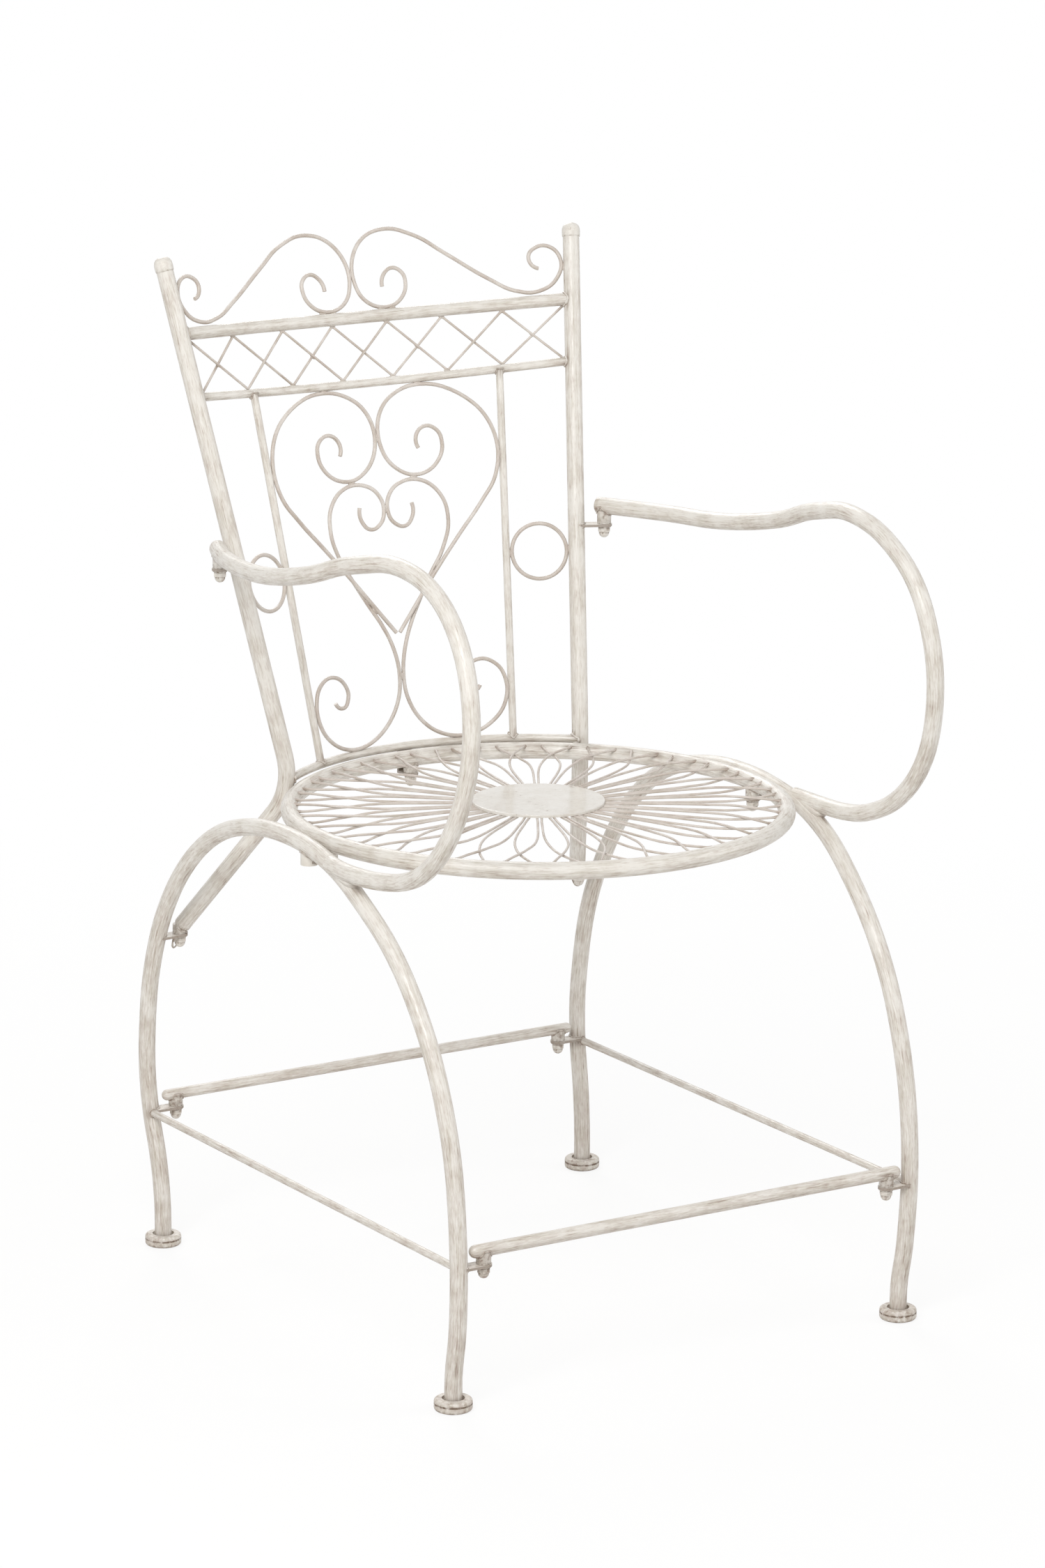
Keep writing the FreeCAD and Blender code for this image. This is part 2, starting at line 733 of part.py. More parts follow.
def build():
    # Side frames
    side_edges = side_tube_edges()
    arm_path = arm_edges()
    side_outer = rod_along(side_edges, tube_diameter)
    arm_outer = rod_along(arm_path, tube_diameter)
    arm_cap = dome(*end_of(arm_path))
    rod = side_rod(side_outer)
    export_pair("side_tube", tube_along(side_edges))
    export_pair("arm_tube", tube_along(arm_path).cut(side_outer))
    export("arm_end_caps", both([arm_cap]))
    export_pair("side_rod", rod)
    export_pair("rear_foot_pad", foot_pad(rear_foot.x, rear_foot.y))
    export_pair("front_foot_pad", foot_pad(front_foot.x, front_foot.y))

    # Back posts
    post_path = post_edges()
    post_outer = rod_along(post_path, tube_diameter)
    post_top = post_path[0].valueAt(post_path[0].FirstParameter)
    top_way = post_path[0].tangentAt(post_path[0].FirstParameter) * -1
    post_foot_cap = dome(*end_of(post_path))
    export_pair("back_post", tube_along(post_path))
    export("post_top_caps", both([dome(post_top, top_way)]))
    export("post_foot_caps", both([post_foot_cap]))

    # Back panel
    posts = both([post_outer])
    top_rail = rail(top_rail_z, math.radians(top_rail_tilt), top_rail_diameter).cut(posts)
    second_rail = rail(second_rail_z, lean_angle, second_rail_diameter).cut(posts)
    lower_rail = bottom_rail().cut(posts)
    inner_bar = rod_along([line(*inner_bar_ends())], inner_bar_diameter)
    inner_bar = inner_bar.cut([second_rail, lower_rail])
    export("top_rail", top_rail)
    export("second_rail", second_rail)
    export("bottom_rail", lower_rail)
    export_pair("inner_bar", inner_bar)
    export("lattice_wire_front", lattice_zigzag(0, -lattice_wire / 2).cut(posts))
    export("lattice_wire_rear", lattice_zigzag(1, lattice_wire / 2).cut(posts))
    export_pair("crest_scroll", crest_scroll())
    export_pair("heart_scroll", inner_scroll(heart_points))
    export_pair("lyre_scroll", inner_scroll(lyre_points))
    export_pair("side_ring", side_ring())

    # Seat
    rim_outer = Part.makeTorus(seat_radius, tube_radius, Vector(0, 0, seat_height))
    plate = seat_plate()
    export("seat_rim", seat_rim())
    export("seat_plate", plate)
    export("seat_wires", [wire.cut(plate) for wire in seat_wires()])

    # Stretchers
    rear_end = beside_seat(stretcher_out, rear_stretcher_y, rear_stretcher_z)
    front_end = beside_seat(stretcher_out, front_stretcher_y, front_stretcher_z)
    rear_bar = stretcher(rear_end, rear_stretcher_diameter)
    front_bar = stretcher(front_end, front_stretcher_diameter)
    export("rear_stretcher", rear_bar)
    export("front_stretcher", front_bar)

    # Bolted joints: where each bolt stands, what its boss is welded to and how tall it may be
    rear_drop = rear_stretcher_diameter / 2 + stretcher_tab_gap
    front_drop = front_stretcher_diameter / 2 + stretcher_tab_gap
    rear_bolt = rear_end - Vector(stretcher_bolt_inset, 0, rear_drop)
    front_bolt = front_end - Vector(stretcher_bolt_inset, 0, front_drop)
    arm_end = points_of(arm_points)[-1]
    arm_bolt = arm_end + Vector(arm_bolt_out, -arm_bolt_ahead, -arm_bolt_drop)
    post_at_arm = post_point(arm_bolt.z)
    post_foot_bolt = post_end + Vector(post_foot_bolt_out, post_foot_bolt_back,
                                       -post_foot_bolt_drop)
    joints = (
        ("rear_stretcher", rear_bolt, [rear_bar], rear_end.z),
        ("front_stretcher", front_bolt, [front_bar], front_end.z),
        ("arm", arm_bolt, [arm_outer, arm_cap], arm_bolt.z + arm_boss_reach),
        ("post_foot", post_foot_bolt, [post_outer, post_foot_cap],
         post_foot_bolt.z + post_foot_boss_reach),
        ("seat", seat_bolt, [rim_outer], seat_height - seat_boss_drop),
    )
    bosses = []
    studs = []
    washers = []
    nuts = []
    for name, bolt, held, ceiling in joints:
        bosses.append((name, boss(bolt, ceiling, held)))
        studs.append(stud(bolt))
        washers.append(washer(bolt))
        nuts.append(acorn_nut(bolt))
    for name, shape in bosses:
        export(name + "_bosses", both([shape]))
    back_boss = boss(back_bolt, seat_height - seat_boss_drop, [rim_outer])
    export("back_seat_boss", back_boss)
    export("bolt_studs", both(studs) + [stud(back_bolt)])
    export("bolt_washers", both(washers) + [washer(back_bolt)])
    export("acorn_nuts", both(nuts) + [acorn_nut(back_bolt)])

    # Tabs that the bolts pass through
    rear_tab = tab(rear_bolt, rear_foot.x + stretcher_tab_lap, rear_bolt.y)
    front_tab = tab(front_bolt, front_foot.x + stretcher_tab_lap, front_bolt.y)
    rear_tab = rear_tab.cut([side_outer, rod])
    front_tab = front_tab.cut([side_outer, rod])
    arm_tab = tab(arm_bolt, post_at_arm.x, post_at_arm.y).cut(post_outer)
    foot_tab = tab(post_foot_bolt, post_foot_bolt.x + post_foot_tab_reach,
                   post_foot_bolt.y - post_foot_tab_skew).cut(side_outer)
    block_x = seat_radius + seat_block_out
    seat_block = cylinder(seat_block_diameter / 2, seat_height - seat_block_foot_drop,
                          seat_height - seat_block_top_drop, block_x, seat_block_y).cut(side_outer)
    seat_tab = tab(seat_bolt, block_x, seat_block_y).cut(seat_block)
    export("stretcher_tabs", both([rear_tab, front_tab]))
    export("arm_tabs", both([arm_tab]))
    export("post_foot_tabs", both([foot_tab]))
    export("seat_tabs", both([seat_tab]))
    export("seat_tab_blocks", both([seat_block]))
    export("back_seat_bracket", back_bracket().cut(lower_rail))


os.makedirs("parts", exist_ok=True)
build()
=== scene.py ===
import math

import bmesh
import bpy
from mathutils import Matrix, Vector
from mathutils.kdtree import KDTree


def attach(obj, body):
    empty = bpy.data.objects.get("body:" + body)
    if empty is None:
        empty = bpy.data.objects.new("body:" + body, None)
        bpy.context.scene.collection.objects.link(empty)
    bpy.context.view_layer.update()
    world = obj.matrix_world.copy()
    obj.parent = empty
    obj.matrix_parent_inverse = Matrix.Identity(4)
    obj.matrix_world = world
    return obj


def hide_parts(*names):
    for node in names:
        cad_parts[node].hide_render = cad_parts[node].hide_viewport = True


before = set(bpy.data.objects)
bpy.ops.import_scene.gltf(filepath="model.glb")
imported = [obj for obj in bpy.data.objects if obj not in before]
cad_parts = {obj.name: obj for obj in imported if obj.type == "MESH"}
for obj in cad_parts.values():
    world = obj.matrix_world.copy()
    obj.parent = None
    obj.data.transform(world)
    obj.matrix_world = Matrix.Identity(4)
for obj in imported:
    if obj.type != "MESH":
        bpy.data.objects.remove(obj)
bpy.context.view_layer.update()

# Garden armchair of bent steel tube and wire, welded and bolted, painted antique cream and
# dry-brushed with a taupe glaze. Rows of points are in millimetres: z up from the floor,
# y back from the middle of the seat, +x toward the chair's own left.
print("stage 1: frame loaded,", len(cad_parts), "parts")

frameOriginY = 34.2      # the frame's origin lies this far behind the middle of the seat


def inFrame(point):
    return (point - Vector((0, frameOriginY, 0))) * 0.001


def mirrored(points):
    return [Vector((-p.x, p.y, p.z)) for p in points]


# Bent paths: straight runs and tangent arcs, as a tube bender or a scroll jig makes them

pathDetail = {"turnDegrees": 6.0, "longestStep": 12.0}


def arcPoints(start, corner, end):
    # Points after start, up to and including end
    half = (end - start).length / 2
    lean = math.acos(min(1.0, half / (corner - start).length))
    steps = max(math.ceil(math.degrees(2 * lean) / pathDetail["turnDegrees"]),
                math.ceil(2 * half / pathDetail["longestStep"]))
    if lean < 0.003:
        return [start.lerp(end, (i + 1) / steps) for i in range(steps)]
    radius = half / math.sin(lean)
    middle = (start + end) / 2
    across = (end - start).normalized()
    outward = (corner - middle).normalized()
    centre = middle - outward * (radius * math.cos(lean))
    turns = [lean * (2 * (i + 1) / steps - 1) for i in range(steps)]
    return [centre + (across * math.sin(t) + outward * math.cos(t)) * radius for t in turns]


def twoArcs(start, startWay, end, endWay):
    span = end - start
    bend = 2 * (1 - startWay.dot(endWay))
    along = span.dot(startWay + endWay)
    if bend < 1e-6:
        reach = span.dot(span) / (2 * along)
    else:
        reach = (math.sqrt(along ** 2 + bend * span.dot(span)) - along) / bend
    firstCorner = start + startWay * reach
    lastCorner = end - endWay * reach
    joint = (firstCorner + lastCorner) / 2
    return arcPoints(start, firstCorner, joint) + arcPoints(joint, lastCorner, end)


def turnedOver(way, chord):
    return (chord * (2 * chord.dot(way) / chord.dot(chord)) - way).normalized()


def smoothPath(points, firstWay=None, lastWay=None):
    ways = [None] * len(points)
    for i in range(1, len(points) - 1):      # the circle through each point and its neighbours
        before = points[i] - points[i - 1]
        after = points[i + 1] - points[i]
        ways[i] = (before / before.dot(before) + after / after.dot(after)).normalized()
    ways[0] = firstWay or turnedOver(ways[1], points[1] - points[0])
    ways[-1] = lastWay or turnedOver(ways[-2], points[-1] - points[-2])
    path = [points[0]]
    for i in range(len(points) - 1):
        path += twoArcs(points[i], ways[i], points[i + 1], ways[i + 1])
    return path


def straightPath(start, end):
    steps = max(1, math.ceil((end - start).length / pathDetail["longestStep"]))
    return [start.lerp(end, i / steps) for i in range(steps + 1)]


def roundedPath(points, radius):
    path = [points[0]]
    for before, corner, after in zip(points, points[1:], points[2:]):
        back = (before - corner).normalized()
        forth = (after - corner).normalized()
        cut = radius / math.tan(0.5 * math.acos(back.dot(forth)))
        path += straightPath(path[-1], corner + back * cut)[1:]
        path += arcPoints(corner + back * cut, corner, corner + forth * cut)
    return path + straightPath(path[-1], points[-1])[1:]


# Node helpers

def hexColour(code):
    # sRGB hex to the linear colour that nodes take
    channels = [int(code[i:i + 2], 16) / 255 for i in (1, 3, 5)]
    return [c / 12.92 if c <= 0.04045 else ((c + 0.055) / 1.055) ** 2.4 for c in channels] + [1.0]


def addNode(tree, kind, settings=None, links=None):
    # settings: attributes by name, input values by index; links: input index to a socket
    node = tree.nodes.new(kind)
    for key, value in (settings or {}).items():
        if isinstance(key, str):
            setattr(node, key, value)
        else:
            node.inputs[key].default_value = value
    for key, socket in (links or {}).items():
        tree.links.new(socket, node.inputs[key])
    return node


# Camera, lamps and floor of a product studio

studio = {
    "cameraPlace": (-2.7648, -4.4286, 1.7564),   # metres, in the frame
    "turn": 0.5588, "pitch": 0.2404, "roll": 0.0065,   # radians
    "lens": 134.09, "sensor": 36.0,
    "worldStrength": 0.50,
    "keyWatts": 92.0, "fillWatts": 22.0, "rimWatts": 34.0,
    "paper": "#F4F3F1", "paperGrain": "#F1F0EE",
    "glowNear": 0.84,          # share of the paper that the camera sees as plain white, by the feet
    "glowSpread": (0.5, 1.8),  # metres over which that share grows to all of it
    "floorReach": 30.0,
}


def makeStudio():
    scene = bpy.context.scene
    scene.view_settings.view_transform = "Standard"
    turn, pitch, roll = studio["turn"], studio["pitch"], studio["roll"]
    ahead = Vector((math.sin(turn) * math.cos(pitch), math.cos(turn) * math.cos(pitch),
                    -math.sin(pitch)))
    level = ahead.cross(Vector((0, 0, 1))).normalized()
    above = level.cross(ahead)
    right = level * math.cos(roll) + above * math.sin(roll)
    over = above * math.cos(roll) - level * math.sin(roll)
    camera = bpy.data.objects.new("photoCamera", bpy.data.cameras.new("photoCamera"))
    scene.collection.objects.link(camera)
    camera.matrix_world = Matrix((right, over, -ahead)).transposed().to_4x4()
    camera.location = studio["cameraPlace"]
    camera.data.sensor_width = studio["sensor"]
    camera.data.lens = studio["lens"]
    camera.data.clip_end = 100
    scene.camera = camera

    world = bpy.data.worlds.new("paleStudio")
    scene.world = world
    world.use_nodes = True
    tree = world.node_tree
    tree.nodes.clear()
    ray = addNode(tree, "ShaderNodeLightPath")
    seen = addNode(tree, "ShaderNodeMath", {"operation": "MAXIMUM"},
                   {0: ray.outputs["Is Camera Ray"], 1: ray.outputs["Is Glossy Ray"]})
    seenThrough = addNode(tree, "ShaderNodeMath", {"operation": "MAXIMUM"},
                          {0: seen.outputs[0], 1: ray.outputs["Is Transmission Ray"]})
    strength = addNode(tree, "ShaderNodeMapRange", {3: studio["worldStrength"], 4: 1.0},
                       {0: seenThrough.outputs[0]})
    background = addNode(tree, "ShaderNodeBackground", {0: (1, 1, 1, 1)},
                         {1: strength.outputs[0]})
    addNode(tree, "ShaderNodeOutputWorld", {}, {0: background.outputs[0]})

    # Three soft boxes: over the front left, opposite it, and behind
    lamps = (("keySoftBox", (-2.2, -2.0, 2.9), 1.8, studio["keyWatts"]),
             ("fillSoftBox", (2.6, -1.8, 1.8), 1.8, studio["fillWatts"]),
             ("rimSoftBox", (0.8, 2.6, 2.4), 1.4, studio["rimWatts"]))
    for name, spot, side, watts in lamps:
        lamp = bpy.data.lights.new(name, "AREA")
        lamp.shape = "SQUARE"
        lamp.size = side
        lamp.energy = watts
        holder = bpy.data.objects.new(name, lamp)
        holder.location = spot
        holder.rotation_mode = "QUATERNION"
        aim = Vector((0, 0, 0.45)) - Vector(spot)
        holder.rotation_quaternion = aim.to_track_quat("-Z", "Y")
        scene.collection.objects.link(holder)

    # Plain floor, wide enough that its far edge is never seen
    paper = bpy.data.meshes.new("studioFloor")
    reach = studio["floorReach"]
    paper.from_pydata([(-reach, -reach, 0), (reach, -reach, 0), (reach, reach, 0), (-reach, reach, 0)],
                      [], [(0, 1, 2, 3)])
    floor = bpy.data.objects.new("studioFloor", paper)
    scene.collection.objects.link(floor)
    white = bpy.data.materials.new("seamlessPaper")    # matt white studio paper
    white.use_nodes = True
    tree = white.node_tree
    tree.nodes.clear()
    ray = addNode(tree, "ShaderNodeLightPath")
    grain = addNode(tree, "ShaderNodeTexNoise", {2: 900.0, 3: 2.0})
    tint = addNode(tree, "ShaderNodeMix", {"data_type": "RGBA", 6: hexColour(studio["paperGrain"]),
                                           7: hexColour(studio["paper"])},
                   {0: grain.outputs[0]})
    matt = addNode(tree, "ShaderNodeBsdfDiffuse", {}, {0: tint.outputs[2]})
    glow = addNode(tree, "ShaderNodeEmission", {0: (1, 1, 1, 1), 1: 1.0})
    seen = addNode(tree, "ShaderNodeMath", {"operation": "MAXIMUM"},
                   {0: ray.outputs["Is Camera Ray"], 1: ray.outputs["Is Glossy Ray"]})
    place = addNode(tree, "ShaderNodeTexCoord").outputs["Object"]
    away = addNode(tree, "ShaderNodeVectorMath", {"operation": "LENGTH"}, {0: place})
    spread = addNode(tree, "ShaderNodeMapRange", {1: studio["glowSpread"][0], 2: studio["glowSpread"][1],
                                                  3: studio["glowNear"], 4: 1.0}, {0: away.outputs["Value"]})
    share = addNode(tree, "ShaderNodeMath", {"operation": "MULTIPLY"},
                    {0: seen.outputs[0], 1: spread.outputs[0]})
    lifted = addNode(tree, "ShaderNodeMixShader", {},
                     {0: share.outputs[0], 1: matt.outputs[0], 2: glow.outputs[0]})
    addNode(tree, "ShaderNodeOutputMaterial", {}, {0: lifted.outputs[0]})
    paper.materials.append(white)


makeStudio()
print("stage 2: camera, lamps and floor")


# Paints

patina = {
    "cream": "#DEDAD3", "creamShade": "#D8D3CA", "highlight": "#E9E6E0",
    "taupe": "#B0A097", "olive": "#ACA491", "brown": "#6B5644", "stroke": "#917C72",
    "blotch": 1.2, "blotchLength": 9.0, "cloud": 26.0,    # millimetres across, along and overall
    "dragged": 3.5,           # how much longer the olive streaks are than the taupe ones
    "dampHeight": 0.42,       # metres above the floor below which the colour grows darker towards the floor
    "footSeam": 0.0066,       # height of the seam moulded round each foot
    "skin": 0.15,             # height of the paint's orange peel in mm
    "glazeStarts": 0.66, "glazeFull": 0.94,      # of the noise, where the wiped glaze begins and is whole
    "cloudShare": 0.34, "wearShare": 0.16,       # how far clouds and worn spots hold more glaze
}
paints = {
    "framePaint": {"glaze": 0.62, "tint": 0.0, "roughness": 0.36, "size": 1.0},
    "wirePaint": {"glaze": 0.80, "tint": 0.46, "roughness": 0.42, "size": 0.6},
    "hardwarePaint": {"glaze": 0.35, "tint": 0.0, "roughness": 0.40, "size": 1.6},
    "lugPaint": {"glaze": 0.50, "tint": 0.1, "roughness": 0.42, "size": 1.6, "bareEdges": 0.6},
    "padPaint": {"glaze": 0.70, "tint": 0.0, "roughness": 0.42, "size": 1.8},
    "platePaint": {"glaze": 0.20, "tint": 0.0, "roughness": 0.08, "size": 2.4},
}


def glazedCream(name, settings, place, scale):
    # Solvent enamel in antique cream, dabbed with a taupe and olive glaze and wiped off while
    # wet: short soft blotches, heavier low down and round welds and bolts; the extra glaze colour
    # on downward-facing sides is painted shade
    paint = bpy.data.materials.new(name)
    paint.use_nodes = True
    tree = paint.node_tree
    shader = tree.nodes["Principled BSDF"]
    spot = addNode(tree, "ShaderNodeTexCoord").outputs["Object"]
    if place == "straight":
        where = addNode(tree, "ShaderNodeAttribute", {"attribute_name": "straight"}).outputs["Vector"]
    else:
        where = spot
    worn = addNode(tree, "ShaderNodeAttribute", {"attribute_name": "weldWear"}).outputs["Fac"]
    size = patina["blotch"] * settings["size"] * 0.001
    length = patina["blotchLength"] * settings["size"] * 0.001
    stretched = addNode(tree, "ShaderNodeMapping", {3: [1 / size, 1 / size, 1 / length] if scale == "long"
                                                    else [0.6 / size] * 3}, {0: where})
    blotch = addNode(tree, "ShaderNodeTexNoise", {2: 1.0, 3: 4.0, 4: 0.62, 8: 0.35},
                     {0: stretched.outputs[0]})
    draggedScale = 1 / patina["dragged"] if scale == "long" else 0.8
    dragged = addNode(tree, "ShaderNodeMapping", {3: [0.8, 0.8, draggedScale]}, {0: stretched.outputs[0]})
    other = addNode(tree, "ShaderNodeTexNoise", {2: 1.0, 3: 3.0, 4: 0.55, 8: 0.4}, {0: dragged.outputs[0]})
    cloud = addNode(tree, "ShaderNodeTexNoise", {2: 1000 / patina["cloud"], 3: 3.0, 4: 0.6}, {0: spot})
    skin = addNode(tree, "ShaderNodeTexNoise", {2: 420.0, 3: 2.0}, {0: spot})

    facing = addNode(tree, "ShaderNodeSeparateXYZ", {},
                     {0: addNode(tree, "ShaderNodeNewGeometry").outputs["Normal"]})
    # Painted shade: sides that face down get more of the glaze colours
    undersideShade = addNode(tree, "ShaderNodeMapRange", {1: 0.3, 2: -0.8, 3: 0.0, 4: 0.09}, {0: facing.outputs[2]})
    height = addNode(tree, "ShaderNodeSeparateXYZ", {}, {0: spot})
    # Darker towards the floor: more glaze colour and taupe below that height
    low = addNode(tree, "ShaderNodeMapRange", {1: patina["dampHeight"], 2: 0.0, 3: 0.0, 4: 0.08},
                  {0: height.outputs[2]})
    # held: the painted shade on undersides plus the darkening towards the floor
    held = addNode(tree, "ShaderNodeMath", {"operation": "ADD"}, {0: undersideShade.outputs[0], 1: low.outputs[0]})
    cloudAndShade = addNode(tree, "ShaderNodeMath", {"operation": "MULTIPLY_ADD", 1: patina["cloudShare"]},
                     {0: cloud.outputs[0], 2: held.outputs[0]})
    wearCloudAndShade = addNode(tree, "ShaderNodeMath", {"operation": "MULTIPLY_ADD", 1: patina["wearShare"]},
                     {0: worn, 2: cloudAndShade.outputs[0]})

    tone = addNode(tree, "ShaderNodeMapRange", {1: 0.32, 2: 0.70}, {0: cloud.outputs[0]})
    bright = addNode(tree, "ShaderNodeMapRange", {1: 0.42, 2: 0.28, 3: 0.0, 4: 0.6}, {0: blotch.outputs[0]})
    toned = addNode(tree, "ShaderNodeMapRange", {1: 0.25, 2: 0.75, 3: settings["tint"] * 0.6,
                                                 4: settings["tint"] * 1.4}, {0: cloud.outputs[0]})
    tinted = addNode(tree, "ShaderNodeMath", {"operation": "MULTIPLY_ADD", 1: 1.4},
                     {0: low.outputs[0], 2: toned.outputs[0]})
    # The olive, taupe and stroke masks also carry the painted shade on undersides
    oliveSum = addNode(tree, "ShaderNodeMath", {"operation": "ADD"},
                       {0: other.outputs[0], 1: wearCloudAndShade.outputs[0]})
    glazed = {1: patina["glazeStarts"], 2: patina["glazeFull"], 4: settings["glaze"]}
    oliveMask = addNode(tree, "ShaderNodeMapRange", glazed, {0: oliveSum.outputs[0]})
    taupeSum = addNode(tree, "ShaderNodeMath", {"operation": "ADD"},
                       {0: blotch.outputs[0], 1: wearCloudAndShade.outputs[0]})
    taupeMask = addNode(tree, "ShaderNodeMapRange", glazed, {0: taupeSum.outputs[0]})
    # Strokes of undiluted glaze, few and only where the cloud lets them
    strokeSum = addNode(tree, "ShaderNodeMath", {"operation": "MULTIPLY_ADD", 1: 0.55},
                        {0: blotch.outputs[0], 2: oliveSum.outputs[0]})
    strokeMask = addNode(tree, "ShaderNodeMapRange", {1: 1.14, 2: 1.26, 4: 0.6}, {0: strokeSum.outputs[0]})
    rubbed = addNode(tree, "ShaderNodeMath", {"operation": "MULTIPLY"},
                     {0: worn, 1: addNode(tree, "ShaderNodeMapRange", {1: 0.34, 2: 0.60, 4: 0.8},
                                          {0: other.outputs[0]}).outputs[0]})
    coats = [(bright, "highlight"), (tinted, "taupe"), (oliveMask, "olive"), (taupeMask, "taupe"),
             (strokeMask, "stroke"), (rubbed, "brown")]
    if "bareEdges" in settings:
        # Brown on the lugs' upright faces, such as the edges of the flat tabs, more the steeper the face
        flat = addNode(tree, "ShaderNodeMath", {"operation": "ABSOLUTE"}, {0: facing.outputs[2]})
        uprightShare = addNode(tree, "ShaderNodeMapRange", {1: 0.8, 2: 0.4, 3: 0.0, 4: settings["bareEdges"]},
                       {0: flat.outputs[0]})
        coats.append((uprightShare, "brown"))
    if name == "stainedCreamFoot":
        # Brown in the moulded seam, and on the tread a brown that is partly stain and partly painted shade
        # where the foot meets the floor, both in the same uneven way
        seam = addNode(tree, "ShaderNodeMath", {"operation": "COMPARE", 1: patina["footSeam"], 2: 0.0009},
                       {0: height.outputs[2]})
        # Stain and painted shade together: browner towards the floor over the lowest 3.5 mm of the foot
        treadStainAndShade = addNode(tree, "ShaderNodeMapRange", {1: 0.0035, 2: 0.0, 3: 0.0, 4: 0.8},
                        {0: height.outputs[2]})
        rims = addNode(tree, "ShaderNodeMath", {"operation": "MAXIMUM"},
                       {0: seam.outputs[0], 1: treadStainAndShade.outputs[0]})
        uneven = addNode(tree, "ShaderNodeMapRange", {1: 0.36, 2: 0.56, 3: 0.1, 4: 0.9},
                         {0: other.outputs[0]})
        stainAndFloorShade = addNode(tree, "ShaderNodeMath", {"operation": "MULTIPLY"},
                        {0: rims.outputs[0], 1: uneven.outputs[0]})
        coats.append((stainAndFloorShade, "brown"))
    # The cream first, then each coat over it by its share
    coat = addNode(tree, "ShaderNodeMix", {"data_type": "RGBA", 6: hexColour(patina["cream"]),
                                           7: hexColour(patina["creamShade"])}, {0: tone.outputs[0]})
    for share, colour in coats:
        coat = addNode(tree, "ShaderNodeMix", {"data_type": "RGBA", 7: hexColour(patina[colour])},
                       {0: share.outputs[0], 6: coat.outputs[2]})
    tree.links.new(coat.outputs[2], shader.inputs["Base Color"])
    gloss = addNode(tree, "ShaderNodeMapRange", {1: 0.35, 2: 0.7, 3: settings["roughness"] - 0.06,
                                                 4: settings["roughness"] + 0.12}, {0: blotch.outputs[0]})
    tree.links.new(gloss.outputs[0], shader.inputs["Roughness"])
    peel = addNode(tree, "ShaderNodeBump", {0: 0.3, 1: patina["skin"] * 0.001}, {3: skin.outputs[0]})
    tree.links.new(peel.outputs[0], shader.inputs["Normal"])
    return paint


# Cream enamel over welded tube and over wire, the glaze dragged along both
framePaint = glazedCream("glazedCreamTube", paints["framePaint"], "straight", "long")
wirePaint = glazedCream("glazedCreamWire", paints["wirePaint"], "straight", "long")
# The same enamel on bolts and lugs, on the moulded feet, and brushed out glossy on the plate
hardwarePaint = glazedCream("glazedCreamHardware", paints["hardwarePaint"], "object", "even")
lugPaint = glazedCream("thinEdgedCreamLug", paints["lugPaint"], "object", "even")
padPaint = glazedCream("stainedCreamFoot", paints["padPaint"], "object", "even")
platePaint = glazedCream("glossCreamPlate", paints["platePaint"], "object", "even")
print("stage 3: paints")


# Tube and wire on a path, by Geometry Nodes

def startTree(name, inputs):
    tree = bpy.data.node_groups.new(name, "GeometryNodeTree")
    sockets = {label: tree.interface.new_socket(label, in_out="INPUT", socket_type=kind).identifier
               for label, kind in inputs}
    tree.interface.new_socket("Geometry", in_out="OUTPUT", socket_type="NodeSocketGeometry")
    return tree, sockets, addNode(tree, "NodeGroupInput").outputs


def endTree(tree, shape, material):
    whole = addNode(tree, "GeometryNodeRealizeInstances", {}, {0: shape})
    painted = addNode(tree, "GeometryNodeSetMaterial", {}, {0: whole.outputs[0], 2: material})
    addNode(tree, "NodeGroupOutput", {}, {0: painted.outputs[0]})


def sweepSection(tree, path, radius, segments, start):
    # Sweeps a ring along the path and keeps where each point would lie on the straight tube
    steps = addNode(tree, "GeometryNodeSplineParameter")
    travelled = addNode(tree, "ShaderNodeMath", {"operation": "ADD"}, {0: steps.outputs["Length"], 1: start})
    measured = addNode(tree, "GeometryNodeStoreNamedAttribute", {2: "travelled"},
                       {0: path, 3: travelled.outputs[0]})
    ring = addNode(tree, "GeometryNodeCurvePrimitiveCircle", {}, {0: segments, 4: radius})
    spot = addNode(tree, "GeometryNodeInputPosition")
    marked = addNode(tree, "GeometryNodeStoreNamedAttribute", {"data_type": "FLOAT_VECTOR", 2: "ringPoint"},
                     {0: ring.outputs[0], 3: spot.outputs[0]})
    thickness = addNode(tree, "GeometryNodeInputNamedAttribute", {0: "thickness"})
    skin = addNode(tree, "GeometryNodeCurveToMesh", {3: True},
                   {0: measured.outputs[0], 1: marked.outputs[0], 2: thickness.outputs[0]})
    ringPoint = addNode(tree, "GeometryNodeInputNamedAttribute",
                        {"data_type": "FLOAT_VECTOR", 0: "ringPoint"})
    apart = addNode(tree, "ShaderNodeSeparateXYZ", {}, {0: ringPoint.outputs[0]})
    length = addNode(tree, "GeometryNodeInputNamedAttribute", {0: "travelled"})
    straight = addNode(tree, "ShaderNodeCombineXYZ", {},
                       {0: apart.outputs[0], 1: apart.outputs[1], 2: length.outputs[0]})
    stored = addNode(tree, "GeometryNodeStoreNamedAttribute", {"data_type": "FLOAT_VECTOR", 2: "straight"},
                     {0: skin.outputs[0], 3: straight.outputs[0]})
    return addNode(tree, "GeometryNodeSetShadeSmooth", {}, {0: stored.outputs[0]}).outputs[0]


